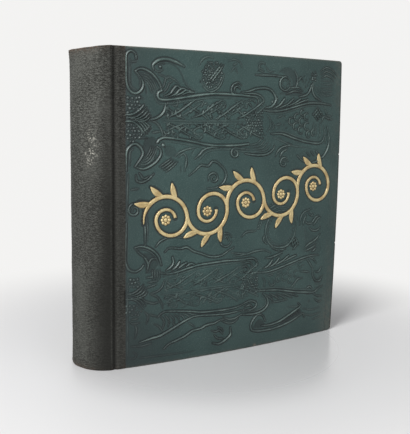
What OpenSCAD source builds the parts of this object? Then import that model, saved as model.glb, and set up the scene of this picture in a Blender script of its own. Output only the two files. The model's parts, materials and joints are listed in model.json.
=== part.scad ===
// Postcard album in a cased binding: two cloth covered boards, a rounded cloth back,
// and stiff slotted leaves that swing on linen hinges from a sewn block of guards.
// The album stands upright on its tail. Inside the modules x runs from the front hinge line
// to the fore edge, y from the front cover to the back cover, and z up.

/* [Covers] */
// Height of the covers, which is the height of the album
album_h = 360; // [300:1:420]
// Width of a cover from its hinge line to the fore edge
cover_w = 321; // [250:1:380]
// Thickness of the closed album at the hinge line, over both covers
album_t = 78; // [66:1:96]
// Thickness of a cover board
board_t = 3.2; // [2.4:0.1:4]
// How far a board bows outward at the middle of its width
board_bow = 9; // [0:0.5:14]
// Radius of a board's worn fore edge corners
corner_r = 4; // [2:0.5:10]
// Thickness of the book cloth
cloth_t = 0.5; // [0.3:0.05:0.7]
// Width of the cloth turned in over a board's edges
turn_in = 15; // [10:1:22]
// Width of the dark cloth of the back where it laps onto a board
lap_w = 8.5; // [7:0.5:40]
// Thickness of the paper pasted inside a cover
pastedown_t = 0.3; // [0.2:0.05:0.5]
// Width of that paper's bare cloth margin at the edges of a cover
pastedown_margin = 4; // [2:0.5:8]

/* [Rounded back] */
// How far the back stands out behind the hinge lines
round_depth = 31; // [24:0.5:32]
// Half the width of the sunk joint between the back and a cover
groove_half_w = 4; // [3:0.25:6]
// Depth of the sunk joint
groove_depth = 3; // [1.5:0.25:3.4]
// Thickness of the card inlay that stiffens the back
stiffener_t = 1.2; // [0.8:0.1:2]
// Hollow between the inlay and the block of guards
hollow_gap = 0.5; // [0.3:0.1:1.5]
// Thickness of the paper lining on the block
lining_t = 0.4; // [0.2:0.1:0.8]
// Thickness of the open mull cloth under that lining
mull_t = 0.4; // [0.3:0.1:0.8]
// How far the mull stops short of the head and tail of the block
mull_inset = 12; // [8:1:30]

/* [Sewing] */
// Number of sewing tapes across the block
tape_count = 4; // [2:1:6]
// Width of a tape
tape_w = 14; // [8:1:20]
// Thickness of a tape
tape_t = 0.4; // [0.3:0.1:0.8]
// Diameter of the sewing thread
thread_d = 0.4; // [0.3:0.05:0.6]
// Height of a headband's skirt on the block
band_skirt_h = 8; // [5:0.5:11]
// Diameter of a headband's rolled bead
band_bead_d = 2; // [1.4:0.1:2.6]

/* [Leaves] */
// Number of card leaves, half on each side of the middle
leaf_count = 28; // [20:2:30]
// Thickness of a card leaf
leaf_t = 1.1; // [0.6:0.05:1.3]
// How far the covers stand over the leaves at head, tail and fore edge
square_w = 4; // [3:0.5:8]
// Distance of the guards' fore edge from the hinge line
guard_w = 6; // [4:0.5:12]
// Length of a leaf's bare linen hinge
linen_w = 8; // [8:0.5:14]
// Thickness of that linen
linen_t = 0.35; // [0.25:0.05:0.45]
// Radius of the linen's fold, round the line that the leaf swings on
fold_r = 0.25; // [0.2:0.05:0.3]
// Thickness of a flyleaf
flyleaf_t = 0.3; // [0.2:0.05:0.5]
// Distance of a flyleaf's fold from the hinge line
flyleaf_x = 2; // [1:0.25:3]
// Width of an inner joint's strip on the block
inner_seat_w = 2; // [1:0.25:3]
// Width over which that joint rises from the block to the cover
inner_rise_w = 2; // [1.5:0.25:3]

/* [Card slots] */
// Length of the postcards that the leaves hold
card_l = 140; // [130:1:150]
// Height of those postcards
card_h = 90; // [80:1:105]
// Columns of cards on a page
card_columns = 2; // [1:1:2]
// Rows of cards on a page
card_rows = 3; // [1:1:3]
// Length of a slot that holds a card's corner
slot_l = 18; // [10:1:30]
// Width of that slot
slot_w = 0.6; // [0.4:0.1:1]
// Distance of the slot's middle from the card's corner, along each edge
slot_inset = 8; // [6:0.5:14]
// Angle of the slot across the card's corner
slot_angle = 45; // [30:1:60]

/* [Gilt ornament] */
// Distance of the ornament's centre from the hinge line
gilt_x = 168; // [150:1:180]
// Height of the ornament's centre
gilt_z = 184; // [150:1:220]
// Angle by which it rises towards the fore edge
gilt_rise = 8; // [0:1:15]
// Thickness of the gilt relief on the cloth
gilt_t = 0.3; // [0.1:0.05:0.5]
// Number of waves of the running vine, up and down in turn
gilt_lobes = 5; // [3:2:5]
// Radius of one wave, at the middle of its stem
gilt_lobe_r = 27; // [22:0.5:28]
// Width of the stem
gilt_stem_w = 5; // [2:0.1:5.5]
// How much smaller each half turn of a scroll is
gilt_step = 7.5; // [6:0.25:8.5]
// Length of a leaf on the stem
gilt_leaf_l = 20; // [8:0.5:24]
// Width of that leaf
gilt_leaf_w = 8; // [4:0.5:9]
// Radius of the ring of petals in a scroll
gilt_ring_r = 4.5; // [3:0.25:5]
// Radius of one petal
gilt_petal_r = 2.1; // [1:0.1:2.4]
// How far the petals lie over the flower's heart
gilt_petal_lap = 0.4; // [0.2:0.1:1]

/* [Clearances] */
// Gap between neighbouring pieces that move against each other
move_gap = 0.4; // [0.3:0.05:0.6]
// Gap between flexible strips and what they join
joint_gap = 0.15; // [0.1:0.05:0.3]
// Gap between two guards
guard_gap = 0.1; // [0.05:0.05:0.2]
// Distance from the sunk joint to the edge of a board
board_gap = 0.4; // [0.2:0.1:1]
// Room for the glue between glued layers
glue_gap = 0.05; // [0.02:0.01:0.1]

/* [Hidden] */
$fn = 120;
eps = 0.01;
bow_steps = 16;
joint_steps = 14;
petal_count = 8;
gilt_leaf_angles = [52, 88, 124];
gilt_leaf_lean = 48;
gilt_taper = [1, 0.85, 0.7];
stiffener_end_angle = 2;
cut_angle = 5;

function two_digits(n) = str(n < 10 ? "0" : "", n);
function leaf_name(n) = str("leaf_", two_digits(n));
COVER_NODES = ["front_board", "back_board", "front_cover_cloth", "back_cover_cloth",
    "front_cloth_lap", "back_cloth_lap", "front_pastedown", "back_pastedown", "gilt_ornament"];
BACK_NODES = ["spine_cloth", "spine_stiffener", "front_joint_cloth", "back_joint_cloth",
    "front_inner_joint", "back_inner_joint"];
BLOCK_NODES = ["leaf_guards", "sewing_tapes", "sewing_threads", "mull", "spine_lining",
    "head_band", "tail_band", "front_flyleaf", "back_flyleaf"];

// The back is an arc through both hinge lines, round_depth deep
half_t = album_t / 2;
back_r = (round_depth * round_depth + half_t * half_t) / (2 * round_depth);
back_x = back_r - round_depth;
stiffener_out_r = back_r - cloth_t;
stiffener_in_r = stiffener_out_r - stiffener_t;
lining_out_r = stiffener_in_r - cloth_t - hollow_gap;
mull_out_r = lining_out_r - lining_t;
sewing_out_r = mull_out_r - mull_t;
block_r = sewing_out_r - tape_t - thread_d - joint_gap;
back_end_angle = acos((back_x + groove_half_w) / back_r);
back_end_y = half_t - back_r * sin(back_end_angle);

// Depths of the layers under the outer face of a cover
board_y = cloth_t;
lining_y = board_y + board_t;
pastedown_y = lining_y + cloth_t;
inner_y = pastedown_y + pastedown_t;
flyleaf_y = inner_y + move_gap;
block_y = flyleaf_y + flyleaf_t + move_gap;
board_x = groove_half_w + board_gap;
lap_x = groove_half_w + joint_gap;
border_x = board_x + lap_w;

// The block between the flyleaves, shared out among the leaves
block_t = album_t - 2 * block_y;
leaf_pitch = block_t / leaf_count;
leaf_z0 = square_w;
leaf_z1 = album_h - square_w;
leaf_x1 = cover_w - square_w;
fold_x = guard_w + move_gap + fold_r;
card_leaf_x = fold_x + linen_w;
linen_lap = 6;
page_w = leaf_x1 - card_leaf_x;
page_h = leaf_z1 - leaf_z0;
slot_cut = 4 * leaf_t + slot_l * board_bow / cover_w;
block_arc_angle = asin((half_t - block_y) / block_r);
bead_r = band_bead_d / 2;

// Outward bow at a distance from the hinge line: 0 at both edges of a cover, 1 at its middle
bow_shape = [for (i = [0:bow_steps]) [cover_w * i / bow_steps, 4 * (i / bow_steps) * (1 - i / bow_steps)]];
function bow_at(x) = board_bow * lookup(x, bow_shape);
// Places along a bowed sheet where its straight facets meet
function facet_xs(x0, x1) = concat([x0],
    [for (p = bow_shape) if (p[0] > x0 + eps && p[0] < x1 - eps) p[0]], [x1]);
function backwards(list) = [for (i = [len(list) - 1:-1:0]) list[i]];
// How far leaf n bows: -1 as the front cover does, 1 as the back cover does
function leaf_lean(n) = (2 * n - 1) / leaf_count - 1;
function leaf_y(n) = block_y + leaf_pitch * (n - 0.5);

// Outline of a sheet from x0 to x1 and y0 to y1, bowed by lean times the boards' bow
module bowed_outline(x0, x1, y0, y1, lean) {
    xs = facet_xs(x0, x1);
    polygon(concat(
        [for (x = xs) [x, y0 + lean * bow_at(x)]],
        [for (x = backwards(xs)) [x, y1 + lean * bow_at(x)]]));
}

module bowed_sheet(x0, x1, y0, y1, z0, z1, lean) {
    translate([0, 0, z0])
        linear_extrude(z1 - z0)
            bowed_outline(x0, x1, y0, y1, lean);
}

// A cover's face with its rounded fore edge corners, drawn back from every edge by inset
module cover_face(inset) {
    r = corner_r - inset;
    x1 = cover_w - inset;
    translate([-cover_w, inset])
        square([cover_w + x1 - r, album_h - 2 * inset]);
    translate([0, corner_r])
        square([x1, album_h - 2 * corner_r]);
    for (z = [corner_r, album_h - corner_r])
        translate([x1 - r, z])
            circle(r);
}

// A plate as high as a cover and thick enough to cut any cover with
module cover_plate(inset) {
    translate([0, album_t, 0])
        rotate([90, 0, 0])
            linear_extrude(2 * album_t)
                cover_face(inset);
}

// Turns a piece of the front cover into its twin of the back cover
module flip() {
    translate([0, album_t, 0])
        mirror([0, 1, 0])
            children();
}

// Sector of a ring round the centre of the back, symmetric about the middle of the back
module back_ring(r_in, r_out, z0, z1, half_angle) {
    far = 2 * r_out;
    translate([back_x, half_t, z0])
        linear_extrude(z1 - z0)
            intersection() {
                difference() {
                    circle(r_out);
                    circle(r_in);
                }
                polygon([[0, 0], [-far * cos(half_angle), far * sin(half_angle)], [-far * 2, far],
                    [-far * 2, -far], [-far * cos(half_angle), -far * sin(half_angle)]]);
            }
}

// Cover boards with their cloth

module board() {
    intersection() {
        bowed_sheet(board_x, cover_w - cloth_t, board_y, lining_y, 0, album_h, -1);
        cover_plate(cloth_t);
    }
}

// Cloth on both faces of a board from x0 to x1, turned in over its edges
module wrapped_cloth(x0, x1) {
    difference() {
        intersection() {
            bowed_sheet(x0, x1, 0, pastedown_y, 0, album_h, -1);
            cover_plate(0);
        }
        intersection() {
            bowed_sheet(x0 - eps, cover_w - cloth_t, board_y, lining_y, 0, album_h, -1);
            cover_plate(cloth_t);
        }
        bowed_sheet(x0 - eps, cover_w - turn_in, board_y, pastedown_y + eps,
            turn_in, album_h - turn_in, -1);
    }
}

module front_board() { color([0.55, 0.47, 0.36]) board(); }
module back_board() { color([0.55, 0.47, 0.36]) flip() board(); }

module front_cover_cloth() { color([0.15, 0.22, 0.22]) wrapped_cloth(border_x, cover_w); }
module back_cover_cloth() { color([0.15, 0.22, 0.22]) flip() wrapped_cloth(border_x, cover_w); }

module front_cloth_lap() { color([0.19, 0.18, 0.17]) wrapped_cloth(lap_x, border_x); }
module back_cloth_lap() { color([0.19, 0.18, 0.17]) flip() wrapped_cloth(lap_x, border_x); }

// The paper lies on the board inside the turned in cloth and steps up over that cloth
module pastedown() {
    bowed_sheet(board_x, cover_w - turn_in, lining_y, inner_y, turn_in, album_h - turn_in, -1);
    bowed_sheet(board_x, cover_w - pastedown_margin, pastedown_y, inner_y,
        pastedown_margin, album_h - pastedown_margin, -1);
}

module front_pastedown() { color([0.80, 0.76, 0.66]) pastedown(); }
module back_pastedown() { color([0.80, 0.76, 0.66]) flip() pastedown(); }

// Gilt relief: a running vine whose waves curl into scrolls round a flower

// Upper half of a ring whose stem of width w has its middle at r
module half_ring(r, w) {
    intersection() {
        difference() {
            circle(r + w / 2);
            circle(r - w / 2);
        }
        translate([-2 * r, 0])
            square([4 * r, 2 * r]);
    }
}

// A pointed leaf from the origin along x
module gilt_leaf(length, width) {
    r = (length * length + width * width) / (4 * width);
    intersection() {
        translate([length / 2, width / 2 - r])
            circle(r);
        translate([length / 2, r - width / 2])
            circle(r);
    }
}

module gilt_flower() {
    circle(gilt_ring_r - gilt_petal_r + gilt_petal_lap);
    for (i = [0:petal_count - 1])
        rotate(360 / petal_count * i)
            translate([gilt_ring_r, 0])
                circle(gilt_petal_r);
}

// One wave of the vine, which curls inward in two more half turns
module gilt_lobe() {
    r1 = gilt_lobe_r - gilt_step;
    r2 = r1 - gilt_step;
    half_ring(gilt_lobe_r, gilt_stem_w * gilt_taper[0]);
    translate([gilt_lobe_r - r1, 0])
        mirror([0, 1])
            half_ring(r1, gilt_stem_w * gilt_taper[1]);
    translate([gilt_lobe_r - 2 * r1 + r2, 0]) {
        half_ring(r2, gilt_stem_w * gilt_taper[2]);
        gilt_flower();
    }
    for (a = gilt_leaf_angles)
        rotate(a)
            translate([gilt_lobe_r, 0])
                rotate(gilt_leaf_lean)
                    gilt_leaf(gilt_leaf_l, gilt_leaf_w);
}

module gilt_vine() {
    for (i = [0:gilt_lobes - 1])
        translate([(i - (gilt_lobes - 1) / 2) * 2 * gilt_lobe_r, 0])
            mirror([0, i % 2])
                gilt_lobe();
}

module gilt_ornament() {
    color([0.80, 0.66, 0.38])
        intersection() {
            bowed_sheet(border_x, cover_w - turn_in, -gilt_t, 0, turn_in, album_h - turn_in, -1);
            translate([gilt_x, album_t, gilt_z])
                rotate([90, 0, 0])
                    linear_extrude(2 * album_t)
                        rotate(gilt_rise)
                            gilt_vine();
        }
}

// Rounded back of the case

// Dark cloth round the inlay, turned in at head and tail
module spine_cloth() {
    color([0.22, 0.21, 0.20])
        difference() {
            back_ring(stiffener_in_r - cloth_t, back_r, 0, album_h, back_end_angle);
            back_ring(stiffener_in_r, stiffener_out_r, cloth_t, album_h - cloth_t,
                back_end_angle + cut_angle);
            back_ring(stiffener_in_r - 2 * cloth_t, stiffener_out_r, turn_in, album_h - turn_in,
                back_end_angle + cut_angle);
        }
}

module spine_stiffener() {
    color([0.62, 0.55, 0.43])
        back_ring(stiffener_in_r + glue_gap, stiffener_out_r - glue_gap, cloth_t + glue_gap,
            album_h - cloth_t - glue_gap, back_end_angle - stiffener_end_angle);
}

// Outer face of the sunk joint, at t = 0 beside the back and t = 1 beside the cover
joint_x0 = -groove_half_w + joint_gap;
joint_x1 = groove_half_w;
function joint_x(t) = joint_x0 + t * (joint_x1 - joint_x0);
function joint_y(t) = (1 - t) * back_end_y - t * bow_at(joint_x1)
    + groove_depth * (1 - cos(360 * t)) / 2;
// A point of the joint cloth at a depth square to its outer face
function joint_point(t, depth) =
    let (dx = joint_x(t + eps) - joint_x(t - eps), dy = joint_y(t + eps) - joint_y(t - eps))
    let (size = sqrt(dx * dx + dy * dy))
    [joint_x(t) - depth * dy / size, joint_y(t) + depth * dx / size];

module joint_cloth() {
    ts = [for (i = [0:joint_steps]) i / joint_steps];
    linear_extrude(album_h)
        polygon(concat(
            [for (t = ts) joint_point(t, 0)],
            [for (t = backwards(ts)) joint_point(t, cloth_t)]));
}

module front_joint_cloth() { color([0.16, 0.15, 0.14]) joint_cloth(); }
module back_joint_cloth() { color([0.16, 0.15, 0.14]) flip() joint_cloth(); }

// Linen that lies on the first guard and rises past the flyleaf's fold to the cover
module inner_joint() {
    cover_x = lap_x - joint_gap;
    high_x = flyleaf_x - flyleaf_t - joint_gap;
    low_x = high_x - inner_rise_w;
    seat_x = low_x - inner_seat_w;
    low_y = block_y - joint_gap - linen_t;
    high_y = pastedown_y - bow_at(cover_x);
    translate([0, 0, leaf_z0])
        linear_extrude(page_h)
            polygon([[seat_x, low_y], [low_x, low_y], [high_x, high_y], [cover_x, high_y],
                [cover_x, high_y + linen_t], [high_x, high_y + linen_t],
                [low_x, low_y + linen_t], [seat_x, low_y + linen_t]]);
}

module front_inner_joint() { color([0.76, 0.71, 0.60]) inner_joint(); }
module back_inner_joint() { color([0.76, 0.71, 0.60]) flip() inner_joint(); }

// Sewn block of guards

module leaf_guards() {
    half_guard = (leaf_pitch - guard_gap) / 2;
    color([0.74, 0.69, 0.58])
        translate([0, 0, leaf_z0])
            linear_extrude(page_h)
                intersection() {
                    for (n = [1:leaf_count])
                        bowed_outline(-back_r, guard_w, leaf_y(n) - half_guard, leaf_y(n) + half_guard,
                            leaf_lean(n));
                    translate([back_x, half_t])
                        circle(block_r);
                }
}

tape_pitch = (page_h - 2 * mull_inset) / tape_count;
function tape_z(i) = leaf_z0 + mull_inset + tape_pitch * (i + 0.5);

module sewing_tapes() {
    color([0.85, 0.82, 0.74])
        for (i = [0:tape_count - 1])
            back_ring(block_r + glue_gap, block_r + tape_t, tape_z(i) - tape_w / 2,
                tape_z(i) + tape_w / 2, block_arc_angle);
}

// One stitch over each tape from every guard that the tape crosses
module sewing_threads() {
    stitch_r = block_r + tape_t + thread_d / 2 + joint_gap / 2;
    color([0.90, 0.87, 0.80])
        for (n = [2:leaf_count - 1], i = [0:tape_count - 1]) {
            y = leaf_y(n) - half_t;
            translate([back_x - sqrt(stitch_r * stitch_r - y * y), leaf_y(n), tape_z(i) - tape_w / 2])
                cylinder(h = tape_w, d = thread_d, $fn = 16);
        }
}

module mull() {
    color([0.80, 0.77, 0.68])
        back_ring(sewing_out_r, mull_out_r, leaf_z0 + mull_inset, leaf_z1 - mull_inset, block_arc_angle);
}

module spine_lining() {
    color([0.66, 0.58, 0.46])
        back_ring(mull_out_r, lining_out_r, leaf_z0 + mull_inset, leaf_z1 - mull_inset, block_arc_angle);
}

// Rolled bead on the end of the block with a skirt down its back
module band() {
    bead_ring_r = block_r + tape_t - bead_r;
    back_ring(block_r + glue_gap, block_r + tape_t, leaf_z1 - band_skirt_h, leaf_z1 + bead_r,
        block_arc_angle);
    translate([back_x, half_t, leaf_z1 + bead_r])
        rotate(180 - block_arc_angle)
            rotate_extrude(angle = 2 * block_arc_angle)
                translate([bead_ring_r, 0])
                    circle(bead_r, $fn = 24);
}

module head_band() { color([0.52, 0.16, 0.14]) band(); }
module tail_band() {
    color([0.52, 0.16, 0.14])
        translate([0, 0, album_h])
            mirror([0, 0, 1])
                band();
}

// Flyleaves and card leaves

// A fold round its swing line, continued as a thin sheet
module folded_edge(x, y, lean, r, sheet_t, x1) {
    translate([x, y + lean * bow_at(x), leaf_z0])
        cylinder(h = page_h, r = r, $fn = 24);
    bowed_sheet(x, x1, y - sheet_t / 2, y + sheet_t / 2, leaf_z0, leaf_z1, lean);
}

module flyleaf() {
    folded_edge(flyleaf_x, flyleaf_y + flyleaf_t / 2, -1, flyleaf_t / 2, flyleaf_t, leaf_x1);
}

module front_flyleaf() { color([0.84, 0.80, 0.70]) flyleaf(); }
module back_flyleaf() { color([0.84, 0.80, 0.70]) flip() flyleaf(); }

// Margins that share out a page's free width and height round its cards
margin_x = (page_w - card_columns * card_l) / (card_columns + 1);
margin_z = (page_h - card_rows * card_h) / (card_rows + 1);
function card_x(i) = card_leaf_x + margin_x + card_l / 2 + i * (card_l + margin_x);
function card_z(j) = leaf_z0 + margin_z + card_h / 2 + j * (card_h + margin_z);

module card_slots(n) {
    for (i = [0:card_columns - 1], j = [0:card_rows - 1], side = [-1, 1], end = [-1, 1]) {
        x = card_x(i) + side * (card_l / 2 - slot_inset);
        z = card_z(j) + end * (card_h / 2 - slot_inset);
        translate([x, leaf_y(n) + leaf_lean(n) * bow_at(x), z])
            rotate([0, side * end * slot_angle, 0])
                cube([slot_l, slot_cut, slot_w], center = true);
    }
}

module leaf(n) {
    y = leaf_y(n);
    lean = leaf_lean(n);
    color([0.36, 0.37, 0.33])
        difference() {
            union() {
                folded_edge(fold_x, y, lean, fold_r, linen_t, card_leaf_x + linen_lap);
                bowed_sheet(card_leaf_x, leaf_x1, y - leaf_t / 2, y + leaf_t / 2, leaf_z0, leaf_z1, lean);
            }
            card_slots(n);
        }
}

// Stands the album with the middle of its base at the origin
module place() {
    translate([-(cover_w - round_depth) / 2, -(album_t - gilt_t) / 2, 0])
        children();
}

place() front_board();
place() back_board();
place() front_cover_cloth();
place() back_cover_cloth();
place() front_cloth_lap();
place() back_cloth_lap();
place() front_pastedown();
place() back_pastedown();
place() gilt_ornament();
place() spine_cloth();
place() spine_stiffener();
place() front_joint_cloth();
place() back_joint_cloth();
place() front_inner_joint();
place() back_inner_joint();
place() leaf_guards();
place() sewing_tapes();
place() sewing_threads();
place() mull();
place() spine_lining();
place() head_band();
place() tail_band();
place() front_flyleaf();
place() back_flyleaf();
for (n = [1:leaf_count])
    place() leaf(n);
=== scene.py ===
import json
import math

import bpy
import numpy as np
from mathutils import Matrix, Vector


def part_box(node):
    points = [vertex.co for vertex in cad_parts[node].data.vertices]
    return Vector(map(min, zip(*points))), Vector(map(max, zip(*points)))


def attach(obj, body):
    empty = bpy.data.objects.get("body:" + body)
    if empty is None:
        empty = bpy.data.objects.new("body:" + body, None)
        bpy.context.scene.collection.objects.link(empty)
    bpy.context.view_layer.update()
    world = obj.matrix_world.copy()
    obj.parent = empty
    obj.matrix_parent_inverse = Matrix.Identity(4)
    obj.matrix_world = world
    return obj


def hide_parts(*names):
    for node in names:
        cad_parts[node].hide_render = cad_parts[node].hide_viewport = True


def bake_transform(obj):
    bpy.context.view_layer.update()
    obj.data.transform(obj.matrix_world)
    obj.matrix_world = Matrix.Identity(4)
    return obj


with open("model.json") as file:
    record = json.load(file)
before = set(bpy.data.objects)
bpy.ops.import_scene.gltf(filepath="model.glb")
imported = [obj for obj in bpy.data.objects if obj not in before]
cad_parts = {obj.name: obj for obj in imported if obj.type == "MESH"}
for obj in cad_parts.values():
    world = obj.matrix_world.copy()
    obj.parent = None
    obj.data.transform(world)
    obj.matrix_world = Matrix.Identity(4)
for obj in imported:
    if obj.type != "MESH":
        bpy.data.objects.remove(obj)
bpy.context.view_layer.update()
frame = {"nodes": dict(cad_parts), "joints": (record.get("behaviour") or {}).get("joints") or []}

# Sizes are in mm in the book's own frame: x from the front hinge line to the fore edge, y from the
# front cover to the back cover, z up from the tail. row() turns them into metres of the row frame.
MM = 0.001
JOINTS = {joint["name"]: joint for joint in frame["joints"]}
HINGE_X, FRONT_Y = JOINTS["front_cover_hinge"]["pos_m"][:2]
BACK_Y = JOINTS["back_cover_hinge"]["pos_m"][1]


def in_book(node):
    """The CAD node's box in the book's frame, in mm."""
    return [[(p[0] - HINGE_X) / MM, (p[1] - FRONT_Y) / MM, p[2] / MM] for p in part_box(node)]


CLOTH_LOW, CLOTH_HIGH = in_book("front_cover_cloth")
BORDER_X = CLOTH_LOW[0]
COVER_W, COVER_T, HEIGHT = CLOTH_HIGH
BOW = -CLOTH_LOW[1]
ALBUM_T = (BACK_Y - FRONT_Y) / MM
ROUND_DEPTH = -in_book("spine_cloth")[0][0]
INNER_LOW, INNER_HIGH = in_book("front_inner_joint")
BAND_LOW, BAND_HIGH = in_book("head_band")
LEAF_LOW, LEAF_HIGH = in_book("leaf_14")
CLOTH_T = 0.5
TURN_IN = 15.0
GROOVE_HALF_W = 4.0
STIFFENER_T = 1.2
CORNER_R = 4.0
EDGE_R = 1.4
FORE_BOW = 2.8
BACK_R = (ROUND_DEPTH ** 2 + (ALBUM_T / 2) ** 2) / (2 * ROUND_DEPTH)
BACK_X = BACK_R - ROUND_DEPTH
BACK_END = math.acos((BACK_X + GROOVE_HALF_W) / BACK_R)

# Linear colours
GREEN_DEEP = (0.0125, 0.037, 0.0345)
GREEN_PALE = (0.023, 0.054, 0.050)
# Painted shade, and the darker tone of stamped cloth
GREEN_PRESSED_AND_SHADE = (0.004, 0.011, 0.0115)
# Rubbed cloth, and a painted highlight on the ridges
GREEN_RUBBED_HIGHLIGHT = (0.135, 0.190, 0.172)
WORN_CLOTH = (0.105, 0.092, 0.072)
CHARCOAL = (0.029, 0.030, 0.026)
CHARCOAL_PALE = (0.084, 0.086, 0.077)
CHARCOAL_DEEP = (0.011, 0.011, 0.0095)
SCUFF = (0.34, 0.33, 0.29)
BROWN_BARE = (0.085, 0.052, 0.033)
GOLD = (0.56, 0.455, 0.235)
GOLD_TARNISHED = (0.40, 0.295, 0.135)
GOLD_RIM = (0.16, 0.095, 0.04)
PULP_BOARD = (0.42, 0.34, 0.24)
ENDPAPER = (0.60, 0.53, 0.40)
ENDPAPER_STAIN = (0.44, 0.34, 0.21)
LINEN = (0.50, 0.44, 0.33)
LINEN_DARK = (0.34, 0.29, 0.20)
LEAF_CARD = (0.120, 0.126, 0.100)
LEAF_CARD_PALE = (0.185, 0.185, 0.150)
LEAF_CARD_DEEP = (0.085, 0.088, 0.072)
LEAF_CARD_RUBBED = (0.34, 0.33, 0.27)
THREAD = (0.66, 0.61, 0.50)
BAND_RED = (0.30, 0.035, 0.028)
BAND_CREAM = (0.62, 0.54, 0.38)
FLOOR_NEAR = (0.62, 0.62, 0.622)
FLOOR_GLOSSY = (0.55, 0.55, 0.552)
BACKGROUND = (0.90, 0.895, 0.885)
AMBIENT = (0.35, 0.35, 0.36)


def row(points):
    """Points in the book's frame, in mm, as metres of the row frame."""
    return np.asarray(points, float) * MM + np.array([HINGE_X, FRONT_Y, 0.0])


def bow(x):
    t = np.clip(np.asarray(x, float) / COVER_W, 0, 1)
    return BOW * 4 * t * (1 - t)


def fore_bow(x, z):
    """How far the fore edge stands out at mid height, less toward the back."""
    t = np.clip(np.asarray(z, float) / HEIGHT, 0, 1)
    return FORE_BOW * 4 * t * (1 - t) * np.clip(np.asarray(x, float) / COVER_W, 0, 1) ** 2


def smooth(value, low, high):
    """0 below low, 1 above high, and a smooth step between."""
    t = np.clip((np.asarray(value, float) - low) / (high - low), 0, 1)
    return t * t * (3 - 2 * t)


def peak(value, centre, width, power=2):
    """1 at the centre, falling to 0 within a few widths to each side."""
    return np.exp(-(np.abs(value - centre) / width) ** power)


# A ripple's count of waves, the factors that their length lies between, and the sum that they seldom pass
RIPPLE_WAVES = 7
RIPPLE_VARY = (0.6, 1.7)
RIPPLE_TOP = 4


def ripple(a, b, size, seed):
    """Soft unevenness from -1 to 1 over two coordinates in mm, with bumps of about that size."""
    rng = np.random.default_rng(seed)
    total = 0.0
    for _ in range(RIPPLE_WAVES):
        angle, phase = rng.uniform(0, 2 * math.pi), rng.uniform(0, 2 * math.pi)
        wave = 2 * math.pi / (size * rng.uniform(*RIPPLE_VARY))
        total = total + np.sin((a * math.cos(angle) + b * math.sin(angle)) * wave + phase)
    return total / RIPPLE_TOP


def left_of(path):
    """Unit vectors to the left of a path, point by point."""
    ahead = np.gradient(path, axis=0)
    ahead /= np.linalg.norm(ahead, axis=1)[:, None]
    return np.stack([-ahead[:, 1], ahead[:, 0]], 1)


def turned(points, angle):
    """Points of a plane turned by an angle."""
    c, s = math.cos(angle), math.sin(angle)
    return np.stack([points[:, 0] * c - points[:, 1] * s, points[:, 0] * s + points[:, 1] * c], 1)


def round_back(radius, angle):
    """x and y on a curve that runs round the back, with the angle 0 in its middle."""
    return BACK_X - radius * np.cos(angle), ALBUM_T / 2 - radius * np.sin(angle)


# Materials

def add_node(tree, kind, inputs, output=0, **settings):
    """Adds a node, links or sets its inputs, and gives one of its outputs."""
    made = tree.nodes.new(kind)
    for key, value in settings.items():
        setattr(made, key, value)
    for key, value in inputs.items():
        if isinstance(value, bpy.types.NodeSocket):
            tree.links.new(value, made.inputs[key])
        else:
            made.inputs[key].default_value = value
    return made.outputs[output]


# A wave texture at scale 1 turns through this many radians a metre
WAVE_TURN = 20


class Shader:
    """A principled material whose textures lie in the object's own coordinates, with sizes in mm."""

    def __init__(self, name, roughness, metallic=0.0, specular=0.3):
        self.material = bpy.data.materials.new(name)
        self.material.use_nodes = True
        self.tree = self.material.node_tree
        self.bsdf = self.tree.nodes["Principled BSDF"]
        self.bsdf.inputs["Roughness"].default_value = roughness
        self.bsdf.inputs["Metallic"].default_value = metallic
        self.bsdf.inputs["Specular IOR Level"].default_value = specular
        self.place = self.node("ShaderNodeTexCoord", {}, "Object")

    def node(self, kind, inputs, output=0, **settings):
        return add_node(self.tree, kind, inputs, output, **settings)

    def noise(self, size, detail=2.0, stretch=(1, 1, 1)):
        vector = self.node("ShaderNodeMapping", {"Vector": self.place, "Scale": stretch})
        return self.node("ShaderNodeTexNoise", {"Vector": vector, "Scale": 1 / (size * MM), "Detail": detail})

    def stripes(self, pitch, direction, wobble):
        scale = 2 * math.pi / (WAVE_TURN * pitch * MM)
        inputs = {"Vector": self.place, "Scale": scale, "Distortion": wobble, "Detail": 1.0}
        return self.node("ShaderNodeTexWave", inputs, 1, bands_direction=direction)

    def weave(self, pitch, wobble):
        return self.math("MULTIPLY", self.stripes(pitch, "X", wobble), self.stripes(pitch, "Z", wobble))

    def ramp(self, value, low, high, to_low=0.0, to_high=1.0):
        inputs = {"Value": value, "From Min": low, "From Max": high, "To Min": to_low, "To Max": to_high}
        return self.node("ShaderNodeMapRange", inputs, interpolation_type="SMOOTHSTEP")

    def math(self, operation, a, b=0.0, clamp=True):
        return self.node("ShaderNodeMath", {0: a, 1: b}, operation=operation, use_clamp=clamp)

    def mean(self, a, b, share=0.5):
        return self.math("ADD", self.math("MULTIPLY", a, share), self.math("MULTIPLY", b, 1 - share))

    def mix(self, factor, a, b):
        a, b = [c if isinstance(c, bpy.types.NodeSocket) else (*c, 1) for c in (a, b)]
        return self.node("ShaderNodeMix", {0: factor, 6: a, 7: b}, 2, data_type="RGBA")

    def attribute(self, name):
        return self.node("ShaderNodeAttribute", {}, "Fac", attribute_name=name)

    def patches(self, color, into, noise, low, high, least=0.0, most=1.0, where=None):
        """Turns a colour into another one in patches of a noise, where an attribute allows it."""
        amount = self.ramp(noise, low, high, least, most)
        if where:
            amount = self.math("MULTIPLY", self.attribute(where), amount)
        return self.mix(amount, color, into)

    def finish(self, color, height, depth, roughness=None):
        """Links the colour, a bump of that depth, and the roughness where it isn't even."""
        bump = self.node("ShaderNodeBump", {"Height": height, "Distance": depth * MM, "Strength": 1.0})
        self.tree.links.new(color, self.bsdf.inputs["Base Color"])
        self.tree.links.new(bump, self.bsdf.inputs["Normal"])
        if roughness is not None:
            self.tree.links.new(roughness, self.bsdf.inputs["Roughness"])
        return self.material


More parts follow.
